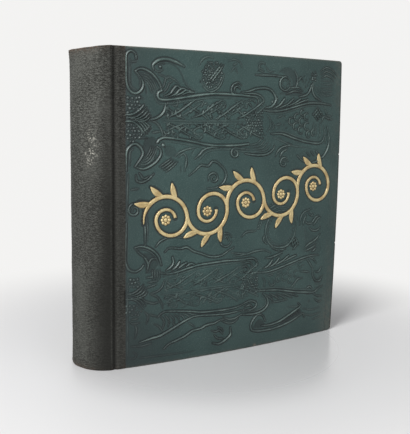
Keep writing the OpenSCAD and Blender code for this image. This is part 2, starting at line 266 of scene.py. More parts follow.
def green_cloth():
    """Fine book cloth: a pebbled weave, darker where stamped and with painted shade in its grooves, hollows
    and border; pale rubbed ridges with a painted highlight.
    """
    s = Shader("green_book_cloth", roughness=0.5, specular=0.5)
    grain = s.noise(1.3, 3.0)
    color = s.patches(GREEN_DEEP, GREEN_PALE, s.noise(60, 4.0), 0.35, 0.65)
    color = s.patches(color, GREEN_RUBBED_HIGHLIGHT, grain, 0.50, 0.72, 0, 0.20)
    # Painted shade in the grooves, hollows and at the border, toward the tail and toward the back, with the
    # stamp's darker tone
    color = s.patches(color, GREEN_PRESSED_AND_SHADE, s.attribute("pressed_and_shade"), 0, 0.9)
    # Paler ridge tops: rubbed cloth with a painted highlight
    color = s.patches(color, GREEN_RUBBED_HIGHLIGHT, s.noise(14, 3.0), 0.38, 0.66, 0.15, 0.75, where="raised")
    color = s.patches(color, WORN_CLOTH, s.noise(3.5, 4.0), 0.36, 0.60, 0.35, 1.3, where="wear")
    shine = s.ramp(s.attribute("raised"), 0.1, 0.9, 0.62, 0.36)
    return s.finish(color, s.mean(grain, s.weave(0.9, 1.5), 0.75), 0.22, shine)


def dark_cloth():
    """Ribbed charcoal cloth of the back: broken ribs, scuffs, bare brown spots, and painted shade with some
    dirt.
    """
    s = Shader("dark_ribbed_cloth", roughness=0.85, specular=0.2)
    pebbles = s.noise(1.1, 3.0, (1, 1, 1.1))
    dashes = s.noise(3.2, 3.0, (1, 1, 3.0))
    color = s.patches(CHARCOAL, CHARCOAL_PALE, dashes, 0.40, 0.60)
    color = s.patches(color, CHARCOAL_DEEP, pebbles, 0.36, 0.52, 0.95, 0)
    color = s.patches(color, CHARCOAL_PALE, s.noise(30, 4.0, (1, 1, 0.5)), 0.42, 0.70, 0, 0.45)
    specks = s.math("MULTIPLY", s.ramp(s.noise(2.0, 3.0), 0.54, 0.62), s.ramp(s.noise(7), 0.45, 0.58))
    color = s.mix(s.math("MULTIPLY", s.attribute("scuff"), specks), color, SCUFF)
    color = s.patches(color, BROWN_BARE, s.noise(3.0, 4.0), 0.36, 0.60, 0.25, 1.2, where="wear")
    # Painted shade with some dirt, darkest in the sunk joints and toward the tail
    color = s.mix(s.attribute("grime_and_shade"), color, CHARCOAL_DEEP)
    return s.finish(color, s.mean(pebbles, dashes), 0.45)


def gilt():
    """Stamped gold foil: fine grain, tarnish in the hollows and small losses."""
    s = Shader("gilt_foil", roughness=0.45, metallic=0.35, specular=0.5)
    grain = s.noise(0.9, 3.0)
    color = s.patches(GOLD, GOLD_TARNISHED, s.noise(9, 4.0), 0.40, 0.68)
    color = s.patches(color, GOLD_RIM, grain, 0.62, 0.74)
    color = s.patches(color, GOLD_RIM, s.attribute("rim"), 0.66, 1.0)
    return s.finish(color, grain, 0.12, s.ramp(s.noise(4, 3.0), 0.3, 0.7, 0.34, 0.58))


def pulp_board():
    s = Shader("pulp_board", roughness=0.95, specular=0.1)
    fibres = s.noise(0.8, 4.0, (0.3, 1, 1))
    color = s.patches(PULP_BOARD, tuple(0.7 * c for c in PULP_BOARD), fibres, 0.35, 0.65)
    return s.finish(color, fibres, 0.1)


def end_paper():
    """Smooth cream paper with stains and foxing."""
    s = Shader("end_paper", roughness=0.78, specular=0.25)
    color = s.patches(ENDPAPER, ENDPAPER_STAIN, s.noise(70, 5.0), 0.42, 0.75, 0, 0.35)
    color = s.patches(color, ENDPAPER_STAIN, s.noise(4.5), 0.66, 0.76, 0, 0.7)
    return s.finish(color, s.noise(0.5, 3.0), 0.03)


def linen_cloth(name, thread, pale, dark, depth):
    """Plain weave of that thread, seen as crossed stripes."""
    s = Shader(name, roughness=0.9, specular=0.15)
    weave = s.weave(thread, 0.6)
    color = s.patches(dark, pale, weave, 0.05, 0.6)
    color = s.patches(color, dark, s.noise(25, 4.0), 0.45, 0.75, 0, 0.5)
    return s.finish(color, weave, depth)


# A page holds six cards. Each is held by its corners in slots cut across them.
CARD_L, CARD_H = 140.0, 90.0
CARD_COLUMNS, CARD_ROWS = 2, 3
LEAF_CARD_X = 14.65
CARD_MARGIN_X = (LEAF_HIGH[0] - LEAF_CARD_X - CARD_COLUMNS * CARD_L) / (CARD_COLUMNS + 1)
CARD_MARGIN_Z = (LEAF_HIGH[2] - LEAF_LOW[2] - CARD_ROWS * CARD_H) / (CARD_ROWS + 1)
CARD_SOFT_EDGE = 2.0
CARD_SHADE = 0.55
SLOT_L = 18.0
SLOT_INSET = 8.0
SLOT_RUB_W = (0.9, 3.2)
SLOT_RUB_END = 1.15
SLOT_RUB = 0.6
FORE_RUB_W = (9.0, 4.0)
SEAM_SOFT_EDGE = 0.2


def leaf_card():
    """Dark mottled card with the linen hinge beside the back. It is darker where the cards lay, and rubbed
    round their slots and along the fore edge."""
    s = Shader("leaf_card", roughness=0.82, specular=0.25)
    x, z = (s.node("ShaderNodeSeparateXYZ", {"Vector": s.place}, axis) for axis in (0, 2))
    color = s.patches(LEAF_CARD, LEAF_CARD_PALE, s.noise(1.6, 5.0), 0.38, 0.66)
    color = s.patches(color, LEAF_CARD_PALE, s.noise(50, 4.0), 0.45, 0.75, 0, 0.4)
    card_x = HINGE_X + LEAF_CARD_X * MM
    inward = []
    for place, start, card, margin in ((x, card_x, CARD_L, CARD_MARGIN_X),
                                       (z, LEAF_LOW[2] * MM, CARD_H, CARD_MARGIN_Z)):
        from_start = s.math("SUBTRACT", place, start + margin / 2 * MM)
        in_cell = s.math("PINGPONG", from_start, (card + margin) / 2 * MM)
        inward.append(s.math("SUBTRACT", in_cell, margin / 2 * MM, clamp=False))
    under_card = s.math("MULTIPLY", *(s.ramp(value, 0, CARD_SOFT_EDGE * MM) for value in inward))
    color = s.mix(s.math("MULTIPLY", under_card, CARD_SHADE), color, LEAF_CARD_DEEP)
    total, difference = (s.math(kind, *inward, clamp=False) for kind in ("ADD", "SUBTRACT"))
    across = s.math("ABSOLUTE", s.math("SUBTRACT", total, 2 * SLOT_INSET * MM, clamp=False))
    along = s.math("ABSOLUTE", difference)
    half_slot = SLOT_L / math.sqrt(2) * MM
    rub = s.math("MULTIPLY", s.ramp(across, *(w * MM for w in SLOT_RUB_W), 1, 0),
                 s.ramp(along, half_slot, SLOT_RUB_END * half_slot, 1, 0))
    color = s.mix(s.math("MULTIPLY", rub, SLOT_RUB), color, LEAF_CARD_RUBBED)
    at_fore_edge = s.ramp(x, *(HINGE_X + (COVER_W - w) * MM for w in FORE_RUB_W))
    color = s.mix(s.math("MULTIPLY", at_fore_edge, s.ramp(s.noise(3), 0.4, 0.6)), color, WORN_CLOTH)
    soft = SEAM_SOFT_EDGE * MM
    color = s.mix(s.ramp(x, card_x - soft, card_x + soft, 1, 0), color, LINEN)
    return s.finish(color, s.noise(0.7, 3.0), 0.06)


def band_cloth():
    """Twisted silk in two colours, which the attribute cream tells apart."""
    s = Shader("band_cloth", roughness=0.6, specular=0.4)
    color = s.mix(s.attribute("cream"), BAND_RED, BAND_CREAM)
    color = s.patches(color, CHARCOAL, s.noise(2, 3.0), 0.5, 0.8, 0, 0.6)
    return s.finish(color, s.noise(0.25), 0.05)


# Meshes

def grid_quads(rows, columns, start=0):
    corner = start + np.arange(rows - 1)[:, None] * columns + np.arange(columns - 1)[None, :]
    return np.stack([corner, corner + 1, corner + columns + 1, corner + columns], -1).reshape(-1, 4)


def sheet(*coordinates):
    """A grid's points from x, y and z, each given for its rows, its columns or both."""
    return np.stack(np.broadcast_arrays(*coordinates), -1).reshape(-1, 3)


def mirrored(points):
    """Points of the front side moved to the back side."""
    return points * (1, -1, 1) + (0, ALBUM_T, 0)


def make_piece(name, points, faces, material, values=None, flip=False):
    """A smooth mesh from points in the book's frame, with named numbers at its points."""
    faces = np.asarray(faces)[:, ::-1] if flip else np.asarray(faces)
    mesh = bpy.data.meshes.new(name)
    mesh.from_pydata(row(points).tolist(), [], faces.tolist())
    mesh.validate()
    mesh.shade_smooth()
    for key, numbers in (values or {}).items():
        layer = mesh.attributes.new(key, "FLOAT", "POINT")
        layer.data.foreach_set("value", np.asarray(numbers, np.float32).ravel())
    mesh.materials.append(material)
    piece = bpy.data.objects.new(name, mesh)
    bpy.context.scene.collection.objects.link(piece)
    return piece


def paint_node(node, material):
    """Gives a carried-over CAD node its material."""
    target = frame["nodes"][node]
    if not target.material_slots:
        target.data.materials.append(material)
    for place in target.material_slots:
        place.material = material


# Blind relief: strokes, beads and hollows stamped into fields of heights over the front cover

CURVE_STEP = 0.5
OUTLINE_STEP = 2.0
ARC_STEP_DEG = 15
SPIRAL_POINTS = 14
SPIRAL_CLOSE = 0.82


def route(points):
    """Points as an array, also from text with x,z pairs and spaces between."""
    if isinstance(points, str):
        points = [[float(n) for n in pair.split(",")] for pair in points.split()]
    return np.array(points, float)


def curve_through(points, step=CURVE_STEP):
    """Points every step mm along a smooth curve through the given ones."""
    p = route(points)
    p = np.vstack([2 * p[0] - p[1], p, 2 * p[-1] - p[-2]])
    made = []
    for a, b, c, d in zip(p[:-3], p[1:-2], p[2:-1], p[3:]):
        count = max(2, int(np.linalg.norm(c - b) / step))
        t = np.linspace(0, 1, count, endpoint=False)[:, None]
        made.append(0.5 * (2 * b + (c - a) * t + (2 * a - 5 * b + 4 * c - d) * t ** 2
                           + (3 * b - a - 3 * c + d) * t ** 3))
    return np.vstack(made + [p[-2:-1]])


def spiral(x, z, r, turns, start, turn):
    """Points of a spiral that winds in from radius r round (x, z), from start degrees, left or right."""
    t = np.linspace(0, 1, SPIRAL_POINTS)
    angle = math.radians(start) + turn * t * turns * 2 * math.pi
    radius = r * (1 - SPIRAL_CLOSE * t)
    return [(x + q * math.cos(a), z + q * math.sin(a)) for q, a in zip(radius, angle)]


def arc(x, z, r, a0, a1):
    """Points of an arc round (x, z), from a0 to a1 degrees."""
    angles = np.radians(np.linspace(a0, a1, max(4, int(abs(a1 - a0) / ARC_STEP_DEG))))
    return [(x + r * math.cos(a), z + r * math.sin(a)) for a in angles]


# How far a dot's and a line's grooves reach past them
DOT_GROOVE_W = 1.3
LINE_GROOVE_W = 1.7
# The share of a line over which each of its ends tapers, and the thin twin beside it
TAPER = 0.3
TWIN = {"width": 1.9, "height": 0.45, "tips": (0.5, 0.5)}
TWIN_STEP = 12
# Rows of beads: their distance in pitches, and how far a bead strays and varies in size
BEAD_ROW = 0.87
BEAD_STRAY = 0.7
BEAD_VARY = (0.75, 1.3)


class Relief:
    """Fields over the cover's face, on rows of z and columns of x: what is raised, the grooves beside
    it, what is sunk and what swells, in mm."""

    def __init__(self, xs, zs):
        self.xs, self.zs = xs, zs
        self.raised, self.groove, self.sunk, self.swell = (np.zeros((len(zs), len(xs))) for _ in range(4))
        self.rng = np.random.default_rng(7)

    def window(self, low, high):
        """Slices of the rows and columns inside a box with corners (x, z)."""
        spans = [np.searchsorted(line, ends) for line, ends in zip((self.xs, self.zs), zip(low, high))]
        return slice(*spans[1]), slice(*spans[0])

    def stamp(self, field, x, z, radius, height):
        """A round bump with a soft foot."""
        rows, columns = self.window((x - radius, z - radius), (x + radius, z + radius))
        window = field[rows, columns]
        if window.size:
            d = np.hypot(self.xs[None, columns] - x, self.zs[rows, None] - z)
            np.maximum(window, height * np.cos(np.pi / 2 * np.clip(d / radius, 0, 1)) ** 2, out=window)

    def dot(self, x, z, radius, height):
        self.stamp(self.raised, x, z, radius, height)
        self.stamp(self.groove, x, z, radius + DOT_GROOVE_W, min(1.0, height))

    def pit(self, x, z, radius, depth):
        self.stamp(self.sunk, x, z, radius, depth)

    def boss(self, x, z, radius, height):
        self.stamp(self.swell, x, z, radius, height)

    def line(self, points, width=3.0, height=0.8, tips=(0.6, 0.6), twin=0.0):
        """A raised line with a groove along each side. Its ends taper to a share of its width. A twin is
        a thin line beside it, that many mm to its left, or to its right where the number is negative."""
        path = curve_through(points)
        for t, (x, z) in zip(np.linspace(0, 1, len(path)), path):
            share = 1 - (1 - tips[0]) * (1 - smooth(t, 0, TAPER)) - (1 - tips[1]) * smooth(t, 1 - TAPER, 1)
            self.stamp(self.raised, x, z, width / 2 * share, height * (0.4 + 0.6 * share))
            depth = min(1.0, 1.1 * height ** 1.6) * share
            self.stamp(self.groove, x, z, width / 2 * share + LINE_GROOVE_W, depth)
        if twin:
            self.line((path + twin * left_of(path))[::TWIN_STEP], **TWIN)

    def gash(self, points, width, depth):
        """A sunk stroke that tapers at both ends."""
        path = curve_through(points)
        for t, (x, z) in zip(np.linspace(0, 1, len(path)), path):
            belly = t * (1 - t)
            self.pit(x, z, width / 2 * (0.5 + 2.0 * belly), depth * (0.6 + 1.6 * belly))

    def comb(self, first, last, count, width, height):
        """Ribs that step evenly from the first stroke to the last one."""
        first, last = route(first), route(last)
        for t in np.linspace(0, 1, count):
            self.line(first + (last - first) * t, width, height)

    def beads(self, low, high, pitch, radius, height, inside=None):
        """Staggered rows of beads over the box from low to high, or over what inside() keeps of it."""
        stray = np.array([(-BEAD_STRAY, -BEAD_STRAY, BEAD_VARY[0]), (BEAD_STRAY, BEAD_STRAY, BEAD_VARY[1])])
        for j, z in enumerate(np.arange(low[1], high[1] + 0.1, pitch * BEAD_ROW)):
            for x in np.arange(low[0] + (j % 2) * pitch / 2, high[0] + 0.1, pitch):
                if inside is None or inside(x, z):
                    dx, dz, share = self.rng.uniform(*stray)
                    self.dot(x + dx, z + dz, radius * share, height * share)

    def hollow(self, outline, depth):
        """Sinks the area inside a closed outline."""
        corners = route(outline)
        path = curve_through(np.vstack([corners, corners[:1]]), OUTLINE_STEP)
        rows, columns = self.window(path.min(0), path.max(0))
        x, z = np.meshgrid(self.xs[columns], self.zs[rows])
        inside = np.zeros(x.shape, bool)
        for (xa, za), (xb, zb) in zip(path, np.roll(path, -1, 0)):
            if za != zb:
                inside ^= ((za > z) != (zb > z)) & (x < (xb - xa) * (z - za) / (zb - za) + xa)
        window = self.sunk[rows, columns]
        np.maximum(window, depth * inside, out=window)

    def draw(self, drawing):
        """Stamps every mark of a drawing."""
        for mark in drawing.strip().replace("\n    ", " ").splitlines():
            if mark.startswith("#"):
                continue
            head, *places = mark.split("|")
            kind, *words = head.split()
            named = dict(word.split("=") for word in words if "=" in word)
            sizes = [float(word) for word in words if "=" not in word]
            if kind == "line":
                tips = [float(share) for share in named.get("tips", "0.6,0.6").split(",")]
                for points in places:
                    self.line(points, *sizes, tips, float(named.get("twin", 0)))
            elif kind == "comb":
                for first, last in zip(places[::2], places[1::2]):
                    self.comb(first, last, int(sizes[0]), *sizes[1:])
            elif kind in ("gash", "hollow"):
                for points in places:
                    (self.gash if kind == "gash" else self.hollow)(points, *sizes)
            else:
                spot = {"boss": self.boss, "dot": self.dot, "pit": self.pit}[kind]
                for x, z in route(" ".join(places)):
                    spot(x, z, *sizes)


# The wide bands' lattice: where its first field lies, how far apart its fields are, and what fills each
LATTICE_X = 74.0
LATTICE_PITCH = 30.5
LATTICE_FIELDS = 4
LATTICE_STROKES = 13
LATTICE_PITS = 8
LATTICE_LEANS = (28, 35, -30, -50, 80)


def band_infill(relief, z, up, down, strength, seed):
    """A lattice of slanted stems, leaves, small strokes and pits that fills a wide band round its middle
    line. Each field of the lattice has its own small unevenness, as in hand-cut stamps."""
    rng = np.random.default_rng(seed)

    def path(x, rise, text, loose=1.1):
        """A stroke that the text gives in mm along and in shares of the rise, with its points moved a bit."""
        points = np.array([x, z]) + route(text) * (1, rise)
        return points + rng.uniform(-loose, loose, points.shape)

    relief.line(path(0, 1, "56,1 90,0 130,0.5 178,0.5", 0.3), 1.8, 0.5 * strength, twin=-2.6)
    for x in LATTICE_X + LATTICE_PITCH * np.arange(LATTICE_FIELDS):
        for rise, fall_h in ((up, 0.75), (-down, 0.5)):
            relief.line(path(x, rise, "-13,0.12 0,0.36 13,0.66 24,0.95"), 2.3, 0.8 * strength, (0.5, 0.8))
            relief.line(path(x, rise, "5,0.2 18,0.5 29,0.79"), 2.0, 0.55 * strength)
            relief.line(path(x, rise, "-14,0.62 -6,0.42 3,0.22 9,0.1"), 2.2, fall_h * strength, (0.5, 0.6))
            relief.gash(path(x, rise, "-7,0.16 0,0.3 6,0.44"), 3.0, 0.8 * strength)
            relief.gash(path(x, rise, "-11,0.46 -4,0.28"), 2.4, 0.6 * strength)
            relief.gash(path(x, rise, "5,0.62 12,0.8"), 2.6, 0.5 * strength)
            relief.line(path(x, rise, "-8,0.74 -4,0.92 1,0.88 0,0.68 -7,0.7"), 1.8, 0.6 * strength)
            for _ in range(LATTICE_STROKES):
                place = np.array([x + rng.uniform(-15, 15), z + rng.uniform(0.12, 0.9) * rise])
                lean = math.radians(rng.choice(LATTICE_LEANS) + rng.uniform(-12, 12))
                half = rng.uniform(1.3, 3.2) * np.array([math.cos(lean), math.sin(lean)])
                arch = np.array([-half[1], half[0]]) * rng.uniform(-0.8, 0.8)
                stroke = [place - half, place + arch, place + half]
                relief.line(stroke, rng.uniform(1.8, 2.6), rng.uniform(0.45, 0.85) * strength)
            for _ in range(LATTICE_PITS):
                relief.pit(x + rng.uniform(-15, 15), z + rng.uniform(0.1, 0.85) * rise,
                           rng.uniform(1.5, 2.8), rng.uniform(0.5, 1.0) * strength)


def lily(relief, z, fall, outline):
    """One of the lilies beside the border: its outline, the nested lines inside and its swell."""

    def nested(text):
        return np.array([0, z]) + route(text) * (1, fall)

    relief.line(outline, height=1.0)
    relief.comb(nested("29,0.92 38,0.86 45,0.6 50,0.2"), nested("35,0.6 38,0.5 41,0.3 43,0.1"), 4, 1.8, 0.5)
    relief.boss(39, z + 0.35 * fall, 7, 0.5)
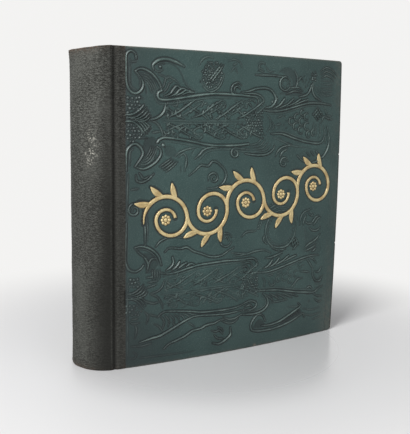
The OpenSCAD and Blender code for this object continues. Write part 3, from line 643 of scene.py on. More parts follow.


# The front cover's marks, placed over the lines that the photograph shows. Each line gives a kind of
# mark, its sizes in mm, and its places with bars between. line: width, height, the shares of its width at
# its two tips and how far off its twin is. comb: count, width and height of its ribs, and the routes of the
# first and the last. gash: width, depth. hollow: depth. boss, dot: radius, height. pit: radius, depth.
FRONT_DRAWING = """
# arc, feathers and dotted fruit above the upper band
line 3 1 | 24,334 29,336.5 35,336 43,332 49,326 53,320 55,313
line 1.8 0.45 | 18,346 18,322 21,316 25,314 | 27,330 30,324 29,318 | 18,343 25,344
gash 2.6 0.8 | 36,318 37,309 | 30,308 34,303
line 4.4 1.1 tips=0.4,0.5 | 45,336 44,341 48,345 54,347.5 62,348 72,345.5 82,341
dot 2.2 1 | 53,339.5
line 1.8 0.5 | 46,337 50,334 56,336 | 49,342 53,344 58,343 | 51,331 56,330 63,326
gash 3 0.75 | 57,343 66,343 74,339 80,331 83,323 87,318 94,314.5
line 1.6 0.4 | 84,326 86,321 91,317 99,313.5
line 2.4 1 tips=0.5,0.9 | 58,308 65,311 69,316 73,319.5 78,317 | 64,307.5 72,311 76,315 81,317 86,315
    | 70,308.5 79,312 84,315 90,314.5 | 79,310 87,313 94,313
line 1.8 0.55 | 56,311 61,316 64,322 69,325 | 55,315 58,321 60,327 66,329 | 62,330 70,326 76,322
gash 2 0.5 | 63,313 67,318 70,321 | 70,312 74,316 78,318 | 77,312 82,316 86,317
line 2.2 0.5 | 101,344 105,350 112,353.5 119,352
line 2.2 0.6 twin=2.6 | 104,327 108,319 116,314.5 125,318 131,326 134,335
line 1.7 1 | 112,325 121,335 130,346 | 115,324 124,334 133,345
pit 2.6 0.8 | 103,325
pit 2 0.6 | 107,320
line 2 0.5 | 140,350 148,352 156,349 158,344 | 143,338 148,343 152,337 | 146,346 151,348
line 2 0.9 | 158,313 150,311.5 144,316 146,323 153,326 158,323 | 150,314 148,319 152,322 156,319
# upper band's left half, fans beside the border and leaves below
line 3.4 1.25 tips=0.8,0.9 twin=-4.4
    | 55,314 51,312 50,308 53,304.5 60,304 70,305 85,307.5 100,310 116,312 130,312.5 150,312 170,311
line 3.2 1.1 tips=0.9,0.9 twin=-4.2
    | 50,257 52,260 57,262 64,262 80,260 95,257.5 110,254.5 125,253 150,253 170,254.5
dot 2.6 1.1 | 57,254
line 3 0.9 | 60,300 58,292 54,287 48,283.5 40,281.5
line 2.2 0.6 | 40,281 48,279 53,274 56,268 57,263 | 72,241 78,246 88,249.5 98,251
    | 76,240 82,244 86,238 84,224
line 2.6 1.15 | 12,287 20,287.5 27,291 34,298
comb 4 1.9 0.95 | 14,284.5 23,284.5 30,288 37,295 | 29,280.5 35,281 39,283 42,286
line 2.4 1.05 | 12,280 21,279.5 29,274 35,266
comb 3 1.9 0.9 | 21,281.5 28,279.5 34,273 38,267 | 31,280.5 35,279 39,276 42,272
gash 3 0.9 | 12,284 14,281 | 13,278 15,275
line 1.8 0.55 | 20,280 27,275 32,268 28,261 | 32,268 38,272 42,276 | 44,268 53,269 | 30,262 38,262
hollow 0.45 | 35,262 47,262 49,252 42,240 33,246
line 3 1 | 24,230.5 29,228.5 35,228 42,231 49,236 54,243 54,249 50,252
line 1.8 0.5 | 18,232 18,246 22,250 | 28,234 36,232.5 44,237 49,243 | 16,222 15,200 15,172 | 19,205 28,206
comb 4 1.8 0.7 | 53,230 61,235 67,239 | 61,224 69,230 75,235
line 2.2 0.8 | 25,221 26,215 32,213 39,216 46,222 | 29,223 34,217 40,219
hollow 0.4 | 58,252 66,254 74,248 70,240 60,243
boss 9 0.5 | 85,243
line 2.6 0.8 twin=-4 | 97,238 103,243 108,248 117,251 128,250.5
boss 9 0.55 | 109,243
gash 2.6 0.8 | 79,230 80,222 | 87,236 89,226 | 97,250 92,242
line 2.4 0.8
    | 90,219 98,225 105,230.5 114,229.5 120,234.5 126,233.5 131,230 137,224 139,217 135,209 126,204 114,203
line 2.2 0.7 twin=-3 | 151,251 158,249 172,248
line 2.4 0.8 tips=0.7,0.6 twin=2.8 | 28,192 33,186 35,175 36,160 36,141
# crescent, ring, corner swirl and whiplash lines above the upper band
line 2.2 0.8 | 178,336 200,336.5 219,335.5
line 1.8 0.5 | 181,349 186,351 192,350 | 193,346 198,341 203,341 | 184,344 189,342
gash 2.6 0.8 | 180,339.5 184,341 | 203,340 208,341.5 | 212,340 216,342
hollow 0.5 | 213,341 221,346 231,346.5 238,342 241.5,334 241,327 236.5,323.5 234.5,330 230,336 222,338.5
line 2 0.7 | 238,344 242.5,336 242.5,328 239,322 | 226,315 238,319 250,317.5 | 230,322.5 244,323.5 252,320
    | 244,331 249,336 252,331
hollow 0.45 | 213,314 222,318 236,320.5 250,320 259,315 248,312.5 232,312.5
line 2.6 0.9 | 267,328 263.5,320 258,315 247,312 | 269,330 268.5,320 274,312.5 284,308
comb 3 1.7 0.5 | 272,326 278,318 286,312 | 283,326 285,321 292,317
comb 3 1.9 0.7 | 282,345 292,350 303,347.5 311,341 | 284,337 292,340 300,338 305,334
comb 5 1.6 0.5 | 284,333 293,333.5 303,333 | 284,316 294,315 305,317
boss 14 0.5 | 294,328
line 2.6 1 | 158,315 168,316.5 180,320 192,321 201,319 207,313.5 209,307 203,300 193,297.5
line 2.2 0.8 twin=-3 | 160,313.5 176,314 186,311.5 191,306 188,300.5
line 1.9 0.8 | 166,310.5 177,310.5 183,306.5 181,301.5 | 168,306 175,306.5 178,303
dot 2.2 0.7 | 204,305
pit 2.1 0.9 | 254,337 258,333 262,330 256,330 260,326 264,334 257,324 266,328
# upper band's right half, rosettes and the sweep at the fore edge
pit 3 0.7 | 224,288 227,282 223,277 227,273 216,274
line 2.6 0.95 twin=-3.2 | 190,295 202,294 218,295 234,298.5 250,302.5 265,305 285,305 302,303
line 2.2 1 tips=0.5,0.9 | 197,297 205,301 211,309.5 | 205,297 215,301.5 223,309.5
    | 213,297.5 227,302.5 237,309.5 | 223,299 239,304.5 249,310 | 236,301.5 251,306.5 261,309
gash 2.4 0.8 | 207,300 212,304 216,309 | 216,301 223,305 230,309 | 228,303 236,307 243,309.5
    | 241,306 248,309
line 1.9 0.6 | 196,290 201,284 202,276 197,269 | 203,282 207,276 204,271 | 210,277 218,279 | 212,286 220,289
comb 4 1.3 0.8 | 270,290 279,299 | 278,283 287,292 | 270,292 279,283 | 278,300 287,290
line 1.7 0.6 | 272,280 271,268 | 276,278 276,264 | 282,280 284,268 281,260
line 2.8 0.95 twin=3.2 | 203,266.5 220,266.5 238,261.5 256,257 275,254.5 285,255 290,260 293,269
line 1.9 0.5 | 206,262 222,257 236,252 252,250 268,249
gash 2.6 0.8 | 214,262 224,259 | 228,256 238,253 | 243,256 254,253 | 296,284 304,283 | 292,270 297,262
    | 293,290 299,295
line 2.6 0.9 twin=3 | 165,243 184,241 197,242 206,247 209,252
comb 4 1.7 0.6 | 170,253 182,255 190,262 | 178,245 195,247 203,253
line 2.2 0.8 | 211,239 214,245 222,250.5 236,252.5 | 218,238 221,244 229,248
hollow 0.3 | 248,240 262,247 284,247 291,243 286,236 272,231 258,234
line 2.2 0.6 | 262,243 267,238 | 269,244 274,239 | 277,245 281,240
line 2.8 1 | 246,239 256,232 270,229.5 284,233 293,240 299,250 300,262 296,275
line 2.2 0.7 | 289,276 293,266 293,254 | 285,280 289,288 297,286 306,285 | 291,297 296,290 303,289
line 1.6 0.35 | 305,300 306,240 305,180 305,110 | 313,330 313,180 313,40
# lines below the gilt, lower band's left half and the sweeps at the tail
line 3 0.95 twin=-3 | 24,139.5 31,140.5 40,138 48,132.5 53,126 56,117
line 2.2 0.7 | 24,139.5 29,133 36,127 40,119 38,110
line 3 0.8 | 14,168 13,140 13,124 17,115 24,112 31,115 34,119
hollow 0.4 | 34,133 46,130 52,118 42,108 36,116
comb 4 1.6 0.6 | 45,112 45,101 | 54,112 54,101
line 1.8 0.6 | 40,118 44,125 52,124 | 38,104 47,104
line 2.4 0.8 | 49,139 54,144.5 62,148 72,149 84,147
line 2.4 0.9 | 60,132 65,136 73,135.5 80,134.5 88,135.5 97,130 108,126 120,121.5 134,121.5 145,127 152,130
    | 60,17 66,21.5 75,24.5 87,28.5 97,33.5 108,35 116,38 127,39 134,41.5 141,42
line 2 0.7 | 138,142 142,144 145,139 | 163,142 170,147.5 184,148 | 149,124 158,122 176,119
    | 135,42 141,38.5 148,36 155,36.5 161,40 | 139,45 147,41 156,41 166,45
line 2.6 1 twin=-3.6 | 55,108 64,106 75,107 90,110.5 105,113 125,114 145,114.5 170,112
line 2.4 1 tips=0.6,0.9 | 62,110 68,114 71,119 70,125 | 69,109.5 75,114 79,119.5 | 77,111 83,115 88,117
    | 87,112.5 93,115.5 98,114
gash 2 0.8 | 67,111 72,116 75,121 | 75,111 80,116 | 84,113 89,115.5
line 2.4 0.95 | 52,56 57,60 63,61.5 78,60 95,57.5 108,55 125,54 150,54 165,56.5 174,60
line 2.2 0.85 | 88,47 97,50.5 108,51 125,49.5 145,48.5 170,50
line 2 0.6 | 60,99 57,91 51,86.5 43,85 | 43,84 51,80 56,73 58,66 | 40,98 52,99 | 38,92 50,95
    | 38,76 46,73 54,74
comb 4 1.9 0.75 | 12,87 20,87 27,90 34,96 | 26,81 32,82 36,84 39,87
comb 3 1.9 0.65 | 13,81 22,80 29,75 34,68 | 27,82 32,80 36,77 39,74
comb 7 1.7 0.6 | 55,57 60,50 58,41 | 90,56.5 96,54 101,52.5
line 1.8 0.5 | 18,54 22,51.5 29,52 | 20,57 27,57 | 24,34 26,44 24,50 | 36,64 40,58 38,50 | 42,60 50,57
    | 20,25 32,24 44,26 | 48,48 54,44 58,38 | 70,47 78,40 | 92,44 100,38
line 2.8 1 | 30,28.5 44,31.5 54,33 63,36.5 75,42 87,47.5 98,51
line 2.6 0.95 | 125,14 133,12 140,14 147,18 150.5,22 150,30
line 1.9 0.7 | 123,30 129,28 134,29 139,24 | 132,33 137,30 140,27 | 127,24 132,19 140,18
line 1.6 0.4 | 15,100 15,60 15,14
line 1.6 0.35 | 16,12 22,10 26,14 22,18 | 30,10 60,9 100,8
# ring, lower band's right half, its whips and the leaf at the tail
line 2.2 0.8 | 205,130 214,125 229,124 240,127 | 208,126 218,121 232,121 | 198,142 196,136 201,130
comb 3 1.7 0.9 | 238,128 248,133 | 244,119 253,127 | 240,133 246,121 | 248,134 253,124
line 2.2 0.75 | 254,150 255.5,160 261,166.5 273,170 | 260,150 261.5,158 265,162 | 268,165 273,161 277,163
    | 263,154 268,151 275,151 | 271,145 277,141 285,141 291,145 | 274,150 281,158 287,160
    | 278,148 285,156 291,158
boss 7 0.5 | 272,158
line 2.2 0.7 | 262,118 272,124 282,128 291,136 | 264,115 276,118 284,122 | 278,113 284,117
    | 152,119 170,120 184,122.5 198,122.5 208,118 | 242,68 248,73 255,79 263,79 | 268,105 274,98 280,90
    | 274,106 282,101 286,96 | 262,88 274,86 | 279,90 281,80 286,73 294,72 299,78 | 284,86 290,84 296,90
    | 270,64 276,66 281,62
hollow 0.35 | 262,146 276,136 290,128 294,112 282,108 268,114 | 283,84 288,76 296,78 298,68 286,67
line 2.4 0.95 twin=-3 | 150,114.5 166,114 180,114 187,109 185,102.5
line 1.9 0.8 | 164,109 175,109 180,105 177,101 | 163,104.5 171,105 174,101 | 168,98 175,96
line 2.4 0.85 twin=-3.2 | 188,95 204,94.5 220,97 240,101.5 258,105.5 275,107.5 290,107
line 2.2 0.9 tips=0.5,0.9 | 197,99 205,102.5 211,109 | 205,99.5 215,104 222,110.5
    | 214,101.5 227,106 237,112 | 226,104 240,108.5 250,111 | 200,112 212,113 226,117
gash 2.2 0.8 | 208,103 213,107 | 217,105 223,109 | 229,107 236,110.5 | 188,112 194,108 | 208,64 216,57
    | 219,63 226,57 | 232,61 240,57 | 270,56 280,55
line 1.9 0.6 | 196,88 200,83 199,76 | 205,89 213,90 | 206,82 210,76 216,78 214,82 | 219,90 227,91
line 2.6 0.9 twin=3.2 | 188,72 202,70.5 218,69 236,65.5 252,62 268,59.5 284,57.5 292,61.5 299,64
comb 5 2 0.7 | 198,67 208,61 215,55 | 240,62 250,58 256,55.5
line 2 0.6 | 209,54 220,53.5 238,54 | 283,55 292,51 299,50 | 286,48 294,43 299,44
line 2.6 0.95 twin=3.4 | 165,44.5 178,43 190,43 200,46 206,52 205,60 198,67
line 2 0.85 | 167,57 178,60 187,57 187,52 180,48.5 168,49.5 | 170,53.5 178,55 182,52
line 2.6 0.9
    | 203,31 199,38 192,41 186,37.5 181,30 182,22.5 190,19.5 204,18.5 220,19 238,22 252,26 266,31 269,26
line 2.6 0.95 | 198,25 212,24.5 227,27 240,32 252,37 261,41.5 257,46
hollow 0.5 | 184,24 190,33 198,33 203,26 196,22 | 212,23 228,25 242,30.5 258,38 264,33 250,28 236,24
comb 6 1.5 0.5 | 226,27 232,24 | 256,38 260,33
boss 16 0.5 | 228,42
pit 4 0.5 | 277,46
line 1.8 0.4 | 240,44 252,42 260,43 | 266,38 280,34 296,35 | 268,30 282,26 298,28 | 284,20 298,22
"""
LILY_UPPER = "25,347 24,352 19,355 14,351 13.5,338 14,322 18,313 24,310 30,313 33,319 31,326 24,334"
LILY_LOWER = "14,226 14,246 18,253 24,255.5 30,252 33,246 31,240 24,230.5"
# Arcs and spirals: the arguments of arc() or spiral(), then a line's width and height
ARCS = (
    ((188, 345, 5, 40, 300), 1.8, 0.6), ((223, 327.5, 8.2, 0, 360), 2.2, 0.9),
    ((141, 140, 8, 20, 340), 2.2, 0.8), ((223, 147, 24, 30, 390), 2.4, 0.7),
    ((223, 147, 33, 95, 175), 2.2, 0.7), ((223, 147, 29, 20, 160), 1.8, 0.6),
)
SPIRALS = (
    ((122, 215, 7.5, 1.4, 200, -1), 2.2, 0.8), ((151, 244, 6.5, 1.4, 80, 1), 2.2, 0.9),
    ((23, 182, 8.5, 1.5, 20, 1), 2.2, 0.8), ((224, 231, 7, 1.4, 10, 1), 2.2, 0.8),
)
# Rings of dots: centre, ring's radius, degrees, and a dot's radius and height
DOT_RINGS = (
    (223, 327.5, 4.4, range(0, 360, 60), 1.3, 0.5), (223, 147, 36, range(96, 176, 6), 1.3, 0.7),
    (223, 147, 20, range(0, 360, 12), 1.2, 0.5),
)
# Petals that overlap like scales: their outline's width and height, their swell, and x,z,radius of each
SCALES = (
    (1.9, 0.75, 0.55, "235,282,4.4 244,287,4.6 242,276,4.2 252,282,4.8 251,271,4.6 261,276,4.6 260,288,4.4 "
                      "264,266,4 253,293,3.6 272,268,3.6"),
    (1.8, 0.55, 0.45, "232,84,4.4 241,90,4.4 242,79,4.2 252,86,4.6 262,92,4.4 258,97,3.8 222,83,3.8"),
)
# Fields of beads: low and high corner, pitch, radius, height, and the shape that the field keeps to
BEAD_FIELDS = (
    ((104, 317), (134, 350), 3.1, 1.2, 0.75, lambda x, z: in_oval(x - 118, z - 333, 13.5, 15.5)),
    ((16, 290), (31, 306), 4.4, 1.6, 0.8, lambda x, z: z > 286 + (x - 12) * 0.5),
    ((14, 258), (33, 277), 4.2, 1.6, 0.75, lambda x, z: in_oval(x - 20, z - 267, 12, 10)),
    ((267, 334), (274, 344), 3.4, 1.3, 0.8, None),
    ((166, 264), (191, 297), 3.6, 1.3, 0.8, lambda x, z: abs(z - 281) < 8 + (x - 160) * 0.35),
    ((16, 91), (31, 106), 4.4, 1.6, 0.6, lambda x, z: z > 87 + (x - 12) * 0.5),
    ((14, 58), (31, 76), 4.2, 1.5, 0.55, lambda x, z: in_oval(x - 21, z - 68, 11, 9)),
    ((166, 70), (190, 98), 3.6, 1.3, 0.75, lambda x, z: abs(z - 84) < 7 + (x - 160) * 0.3),
)


def in_oval(dx, dz, half_w, half_h):
    return (dx / half_w) ** 2 + (dz / half_h) ** 2 < 1


def stamp_front(relief):
    """All marks of the front cover. The beads take the relief's random draws, field by field."""
    relief.draw(FRONT_DRAWING)
    lily(relief, 309, 25, LILY_UPPER)
    lily(relief, 255, -25, LILY_LOWER)
    band_infill(relief, 281, 25, 21, 1.0, 51)
    band_infill(relief, 84, 23, 21, 0.7, 52)
    for kind, strokes in ((arc, ARCS), (spiral, SPIRALS)):
        for shape, width, height in strokes:
            relief.line(kind(*shape), width, height)
    for x, z, r, degrees, radius, height in DOT_RINGS:
        for a in np.radians(degrees):
            relief.dot(x + r * math.cos(a), z + r * math.sin(a), radius, height)
    for width, height, swell, petals in SCALES:
        for x, z, r in route(petals):
            relief.line(arc(x, z, r, 60, 300), width, height)
            relief.boss(x, z, r, swell)
    for field in BEAD_FIELDS:
        relief.beads(*field)


# Gilt vine: the CAD ornament's layout with domed, tapered strokes

VINE_X = 168.0
VINE_Z = 184.0
VINE_RISE = math.radians(8)
LOBES = 5
LOBE_R = 27.0
SCROLL_STEP = 7.5
STEM_W = 5.0
LEAF_L = 20.0
LEAF_W = 8.0
PETALS = 8
RING_R = 4.5
PETAL_R = 2.1
EYE_R = RING_R - PETAL_R + 0.4
LEAF_ANGLES = (52, 88, 124)
LEAF_LEAN = 48
GILT_DOME = 1.0
EYE_DOME = 1.2
GILT_ROOT = -0.45
GILT_POWER = 5
LEAF_BEND = 1.6
MIDRIB_DEPTH = 0.35
MIDRIB_W = 0.16
STEM_CLEAR = 4.0
LEAF_CLEAR = 3.0
# Steps along and across a stroke, and rings and steps of a boss
HALF_TURN_STEPS = 40
STEM_ACROSS = 11
LEAF_ALONG, LEAF_ACROSS = 17, 9
BOSS_RINGS, BOSS_STEPS = 5, 18


def vine_to_cover(points, lobe):
    """Points of a lobe's own plane placed on the cover, as x and z."""
    p = np.array(points, float)
    if lobe % 2:
        p[:, 1] = -p[:, 1]
    p[:, 0] += (lobe - (LOBES - 1) / 2) * 2 * LOBE_R
    return turned(p, VINE_RISE) + (VINE_X, VINE_Z)


def half_turn(x, r, upper):
    """Half a circle round (x, 0) from its left end, above or below."""
    a = np.linspace(math.pi, 0, HALF_TURN_STEPS)
    return np.stack([x + r * np.cos(a), r * np.sin(a) * (1 if upper else -1)], 1)


def vine_stems(lobe):
    """The lobe's wave, and its scroll from the wave's end inward: centreline points with widths."""
    r1 = LOBE_R - SCROLL_STEP
    r2 = r1 - SCROLL_STEP
    wave = half_turn(0, LOBE_R, True)
    first = half_turn(LOBE_R - r1, r1, False)[::-1]
    second = half_turn(LOBE_R - 2 * r1 + r2, r2, True)
    scroll = np.vstack([first, second[1:]])
    wave_w = np.full(len(wave), STEM_W)
    if lobe == 0:
        wave_w = STEM_W * (0.25 + 0.75 * smooth(np.arange(len(wave)), 0, 12))
    scroll_w = STEM_W * np.interp(np.arange(len(scroll)), [0, 40, 70, 79], [0.95, 0.85, 0.7, 0.85])
    return [(wave, wave_w), (scroll, scroll_w)]


def vine_strips():
    """Centrelines on the cover with their widths: the wave that ends in the last scroll, then the others."""
    strips, wave, wave_w = [], [], []
    for lobe in range(LOBES):
        for number, (path, widths) in enumerate(vine_stems(lobe)):
            path = vine_to_cover(path, lobe)
            if number == 0 or lobe == LOBES - 1:
                first = 1 if wave else 0
                wave.append(path[first:])
                wave_w.append(widths[first:])
            else:
                strips.append((path, widths))
    return [(np.vstack(wave), np.concatenate(wave_w))] + strips


def leaf_spine(angle, shares):
    """Points along a leaf's middle in its lobe's plane, at shares of its length."""
    a, lean = math.radians(angle), math.radians(angle + LEAF_LEAN)
    start = LOBE_R * np.array([math.cos(a), math.sin(a)])
    return start + LEAF_L * np.asarray(shares)[:, None] * np.array([math.cos(lean), math.sin(lean)])


def on_cover(x, z, rise):
    """Points at that height over the front cover's face."""
    return sheet(x + fore_bow(x, z), -bow(x) - rise, z)


def dome_rise(u):
    """Height of the gilt over the cover from a stroke's middle (0) to its rims (-1 and 1)."""
    return GILT_ROOT + (GILT_DOME - GILT_ROOT) * (1 - np.abs(u) ** GILT_POWER)


def gilt_strip(x, z, rise, rims):
    """A gilt stroke on a grid, with both its ends let into the cloth: points, quads and rims."""
    rise = np.tile(rise, (len(x), 1))
    rise[[0, -1]] = GILT_ROOT
    return on_cover(x, z, rise), grid_quads(*x.shape), np.tile(rims, len(x))


def gilt_stem(path, widths):
    """A rounded strip that follows the path on the cover."""
    u = np.sin(np.linspace(-math.pi / 2, math.pi / 2, STEM_ACROSS))
    flat = path[:, None, :] + left_of(path)[:, None, :] * (widths[:, None] / 2 * u)[..., None]
    return gilt_strip(flat[..., 0], flat[..., 1], dome_rise(u), np.abs(u))


def gilt_leaf(lobe, angle):
    """A pointed, bent leaf with a sunk midrib."""
    t = np.linspace(0, 1, LEAF_ALONG)
    u = np.linspace(-1, 1, LEAF_ACROSS)
    half = LEAF_W / 2 * np.sin(np.pi * t) ** 0.8
    off = (LEAF_BEND * np.sin(np.pi * t)[:, None] + half[:, None] * u)[..., None]
    lean = math.radians(angle + LEAF_LEAN)
    flat = leaf_spine(angle, t)[:, None, :] + off * np.array([-math.sin(lean), math.cos(lean)])
    placed = vine_to_cover(flat.reshape(-1, 2), lobe).reshape(flat.shape)
    rise = np.clip(dome_rise(u) - MIDRIB_DEPTH * peak(u, 0, MIDRIB_W), GILT_ROOT, GILT_DOME)
    return gilt_strip(placed[..., 0], placed[..., 1], rise, np.maximum(np.abs(u), 0.85 * peak(u, 0, 0.2)))


def gilt_boss(centre, radius, height):
    """A round boss on the cover."""
    share = np.linspace(1, 0.02, BOSS_RINGS)[:, None]
    a = np.linspace(0, 2 * math.pi, BOSS_STEPS)
    x, z = centre[0] + radius * share * np.cos(a), centre[1] + radius * share * np.sin(a)
    rise = GILT_ROOT + (height - GILT_ROOT) * np.sqrt(1 - share ** 2)
    return on_cover(x, z, rise), grid_quads(*x.shape), np.repeat(share, len(a))


def gilt_vine(material):
    parts = [gilt_stem(path, widths) for path, widths in vine_strips()]
    for lobe in range(LOBES):
        parts += [gilt_leaf(lobe, angle) for angle in LEAF_ANGLES]
        centre = vine_to_cover([(0, 0)], lobe)[0]
        parts.append(gilt_boss(centre, EYE_R, EYE_DOME))
        for a in 2 * math.pi * np.arange(PETALS) / PETALS:
            spot = centre + RING_R * np.array([math.cos(a), math.sin(a)])
            parts.append(gilt_boss(spot, PETAL_R, GILT_DOME))
    points, faces, rims = zip(*parts)
    starts = np.cumsum([0] + [len(p) for p in points[:-1]])
    quads = np.vstack([f + start for f, start in zip(faces, starts)])
    vine = make_piece("gilt_vine", np.vstack(points), quads, material, {"rim": np.concatenate(rims)})
    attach(vine, "front_cover")
    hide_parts("gilt_ornament")


def recess_round_vine(relief):
    """1 beside the gilt strokes, falling to 0 a few mm away."""
    near = Relief(relief.xs, relief.zs)
    for path, widths in vine_strips():
        for (x, z), width in zip(path[::2], widths[::2]):
            near.stamp(near.raised, x, z, width / 2 + STEM_CLEAR, 1.0)
    for lobe in range(LOBES):
        for angle in LEAF_ANGLES:
            shares = np.linspace(0, 1, 13)
            for t, (x, z) in zip(shares, vine_to_cover(leaf_spine(angle, shares), lobe)):
                near.stamp(near.raised, x, z, LEAF_W / 2 * math.sin(math.pi * t) + LEAF_CLEAR, 1.0)
        centre = vine_to_cover([(0, 0)], lobe)[0]
        near.stamp(near.raised, *centre, RING_R + PETAL_R + STEM_CLEAR, 1.0)
    return smooth(near.raised, 0.05, 0.6)


# Covers

FACE_STEP = 0.64
FACE_PIECES = ("front_cover_relief_tail", "front_cover_relief_middle", "front_cover_relief_head")
FACE_LIFT = 0.4
RELIEF_LIFT = 1.2
GROOVE_SHARE = 0.65
RECESS = 0.6
BORDER_DIP = 0.45
NOTCH_Z = (75.0, 91.0)
CHIP_X = 187.0
BACK_FACE_STEP = 2.0
OUTER_EDGE_DEG = (18, 36, 54, 72, 90)
INNER_EDGE_DEG = (0, 30, 60, 90)
INNER_EDGE_R = 0.6 * EDGE_R


def rounded_face(xs, zs):
    """The face's grid with its two fore edge corners drawn in to arcs, as x and z."""
    r = CORNER_R - EDGE_R
    x, z = np.meshgrid(xs, zs)
    a = np.clip((x - (xs[-1] - r)) / r, 0, 1)
    low, high = zs[0] + r, zs[-1] - r
    up = np.where(z > high, 1, -1)
    b = np.clip(np.where(z > high, z - high, low - z) / r, 0, 1)
    corner = (a > 0) & (b > 0)
    x_arc = xs[-1] - r + r * a * np.sqrt(1 - b ** 2 / 2)
    z_arc = np.where(up > 0, high, low) + up * r * b * np.sqrt(1 - a ** 2 / 2)
    return np.where(corner, x_arc, x), np.where(corner, z_arc, z)


def edge_wear(x, z):
    """1 on a cover's outer edges, less a few mm in, and most at the corners and the lower fore edge."""
    to_side = COVER_W - x
    to_end = np.minimum(z, HEIGHT - z)
    wear = 0.4 * np.maximum(np.exp(-to_side / 1.6), np.exp(-to_end / 1.4))
    wear = np.maximum(wear, 0.7 * np.exp(-np.hypot(to_side, to_end) / 7))
    wear = np.maximum(wear, 0.30 * smooth(x, 285, 318) * smooth(z, 110, 15))
    return np.maximum(wear, 0.18 * smooth(x, 296, 318) * smooth(ripple(x, z, 50, 3), -0.4, 0.8))


def edge_profile():
    """The section of a cover's rounded edge: how far outside the face's rim and how deep its steps lie."""
    outer = [(EDGE_R * math.sin(a), EDGE_R * (1 - math.cos(a))) for a in np.radians(OUTER_EDGE_DEG)]
    inner = [(EDGE_R - INNER_EDGE_R * (1 - math.cos(a)), COVER_T - INNER_EDGE_R * (1 - math.sin(a)))
             for a in np.radians(INNER_EDGE_DEG)]
    return outer + inner


def cover_shell(name, xs, zs, height, values, material, back=False, at_tail=True, at_head=True):
    """A cover's cloth, or a part of it from tail to head: the face, the rounded edges and the turned-in
    strip. Grids of height and of values lie over the face."""
    x, z = rounded_face(xs, zs)
    rows, columns = x.shape
    loop = [(j, columns - 1) for j in range(int(at_tail), rows - int(at_head))]
    if at_tail:
        loop = [(0, i) for i in range(columns)] + loop
    if at_head:
        loop += [(rows - 1, i) for i in range(columns - 1, -1, -1)]
    j, i = np.array(loop).T
    rim = np.stack([x[j, i], z[j, i]], 1)
    out = -left_of(rim)
    if at_tail:
        out[0] = (0, -1)
    if at_head:
        out[-1] = (0, 1)
    rings = [(rim + offset * out, depth) for offset, depth in edge_profile()]
    strip_end = np.clip(rim, (-np.inf, TURN_IN), (COVER_W - TURN_IN, HEIGHT - TURN_IN))
    points, wears, faces = [sheet(x, -height, z)], [np.ravel(values["wear"])], [grid_quads(rows, columns)]
    before, count = j * columns + i, rows * columns
    for number, (ring, depth) in enumerate(rings + [(strip_end, COVER_T)]):
        fade = max(0.0, 1 - number / 3)
        points.append(np.stack([ring[:, 0], depth - height[j, i] * fade, ring[:, 1]], 1))
        wears.append(np.full(len(rim), 0.5 if depth < COVER_T - 1 else 0.2))
        now = count + np.arange(len(rim))
        faces.append(np.stack([before[:-1], now[:-1], now[1:], before[1:]], 1))
        before, count = now, count + len(rim)
    if not back:
        # The step down to the dark cloth at the border
        points.append(sheet(x[:, 0], CLOTH_T * 0.9, z[:, 0]))
        wears.append(np.full(rows, 0.3))
        before, now = np.arange(rows) * columns, count + np.arange(rows)
        faces.append(np.stack([before[1:], now[1:], now[:-1], before[:-1]], 1))
        count += rows
    points = np.vstack(points)
    points[:, 1] -= bow(points[:, 0])
    points[:, 0] += fore_bow(points[:, 0], points[:, 2])
    given = {"wear": np.concatenate(wears), "pressed_and_shade": np.zeros(count), "raised": np.zeros(count)}
    for key in ("pressed_and_shade", "raised"):
        if key in values:
            given[key][:rows * columns] = np.ravel(values[key])
    points = mirrored(points) if back else points
    piece = make_piece(name, points, np.vstack(faces), material, given, flip=back)
    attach(piece, "back_cover" if back else "front_cover")
    return piece


def face_lines(low, high, step):
    return np.linspace(low, high, int((high - low) / step) + 1)


def border_notch(z):
    """1 where the border of the two cloths is worn through to the dark glue."""
    return smooth(z, NOTCH_Z[0] - 3, NOTCH_Z[0] + 3) * smooth(z, NOTCH_Z[1] + 3, NOTCH_Z[1] - 3)


def box_blur(field, reach):
    """Mean over a square window of that many cells to each side."""
    padded = np.pad(field, reach + 1, mode="edge").cumsum(0).cumsum(1)
    size = 2 * reach + 1
    total = padded[size:, size:] - padded[:-size, size:] - padded[size:, :-size] + padded[:-size, :-size]
    return total[:field.shape[0], :field.shape[1]] / size ** 2


def soil_and_shade(x, z):
    """How much darker the front is painted: painted shade toward the tail and toward the back, and darker
    toward the head, along a crease beside the fore edge, and on the edge itself."""
    soil = 0.30 * smooth(z, 110, 10) + 0.38 * smooth(x, 100, 14) + 0.08 * smooth(z, 250, 350)
    crease = 0.22 * peak(x, COVER_W - 12.5, 1.3) * smooth(z, 270, 215)
    return soil + crease + 0.55 * smooth(x, COVER_W - 5, COVER_W - 2)


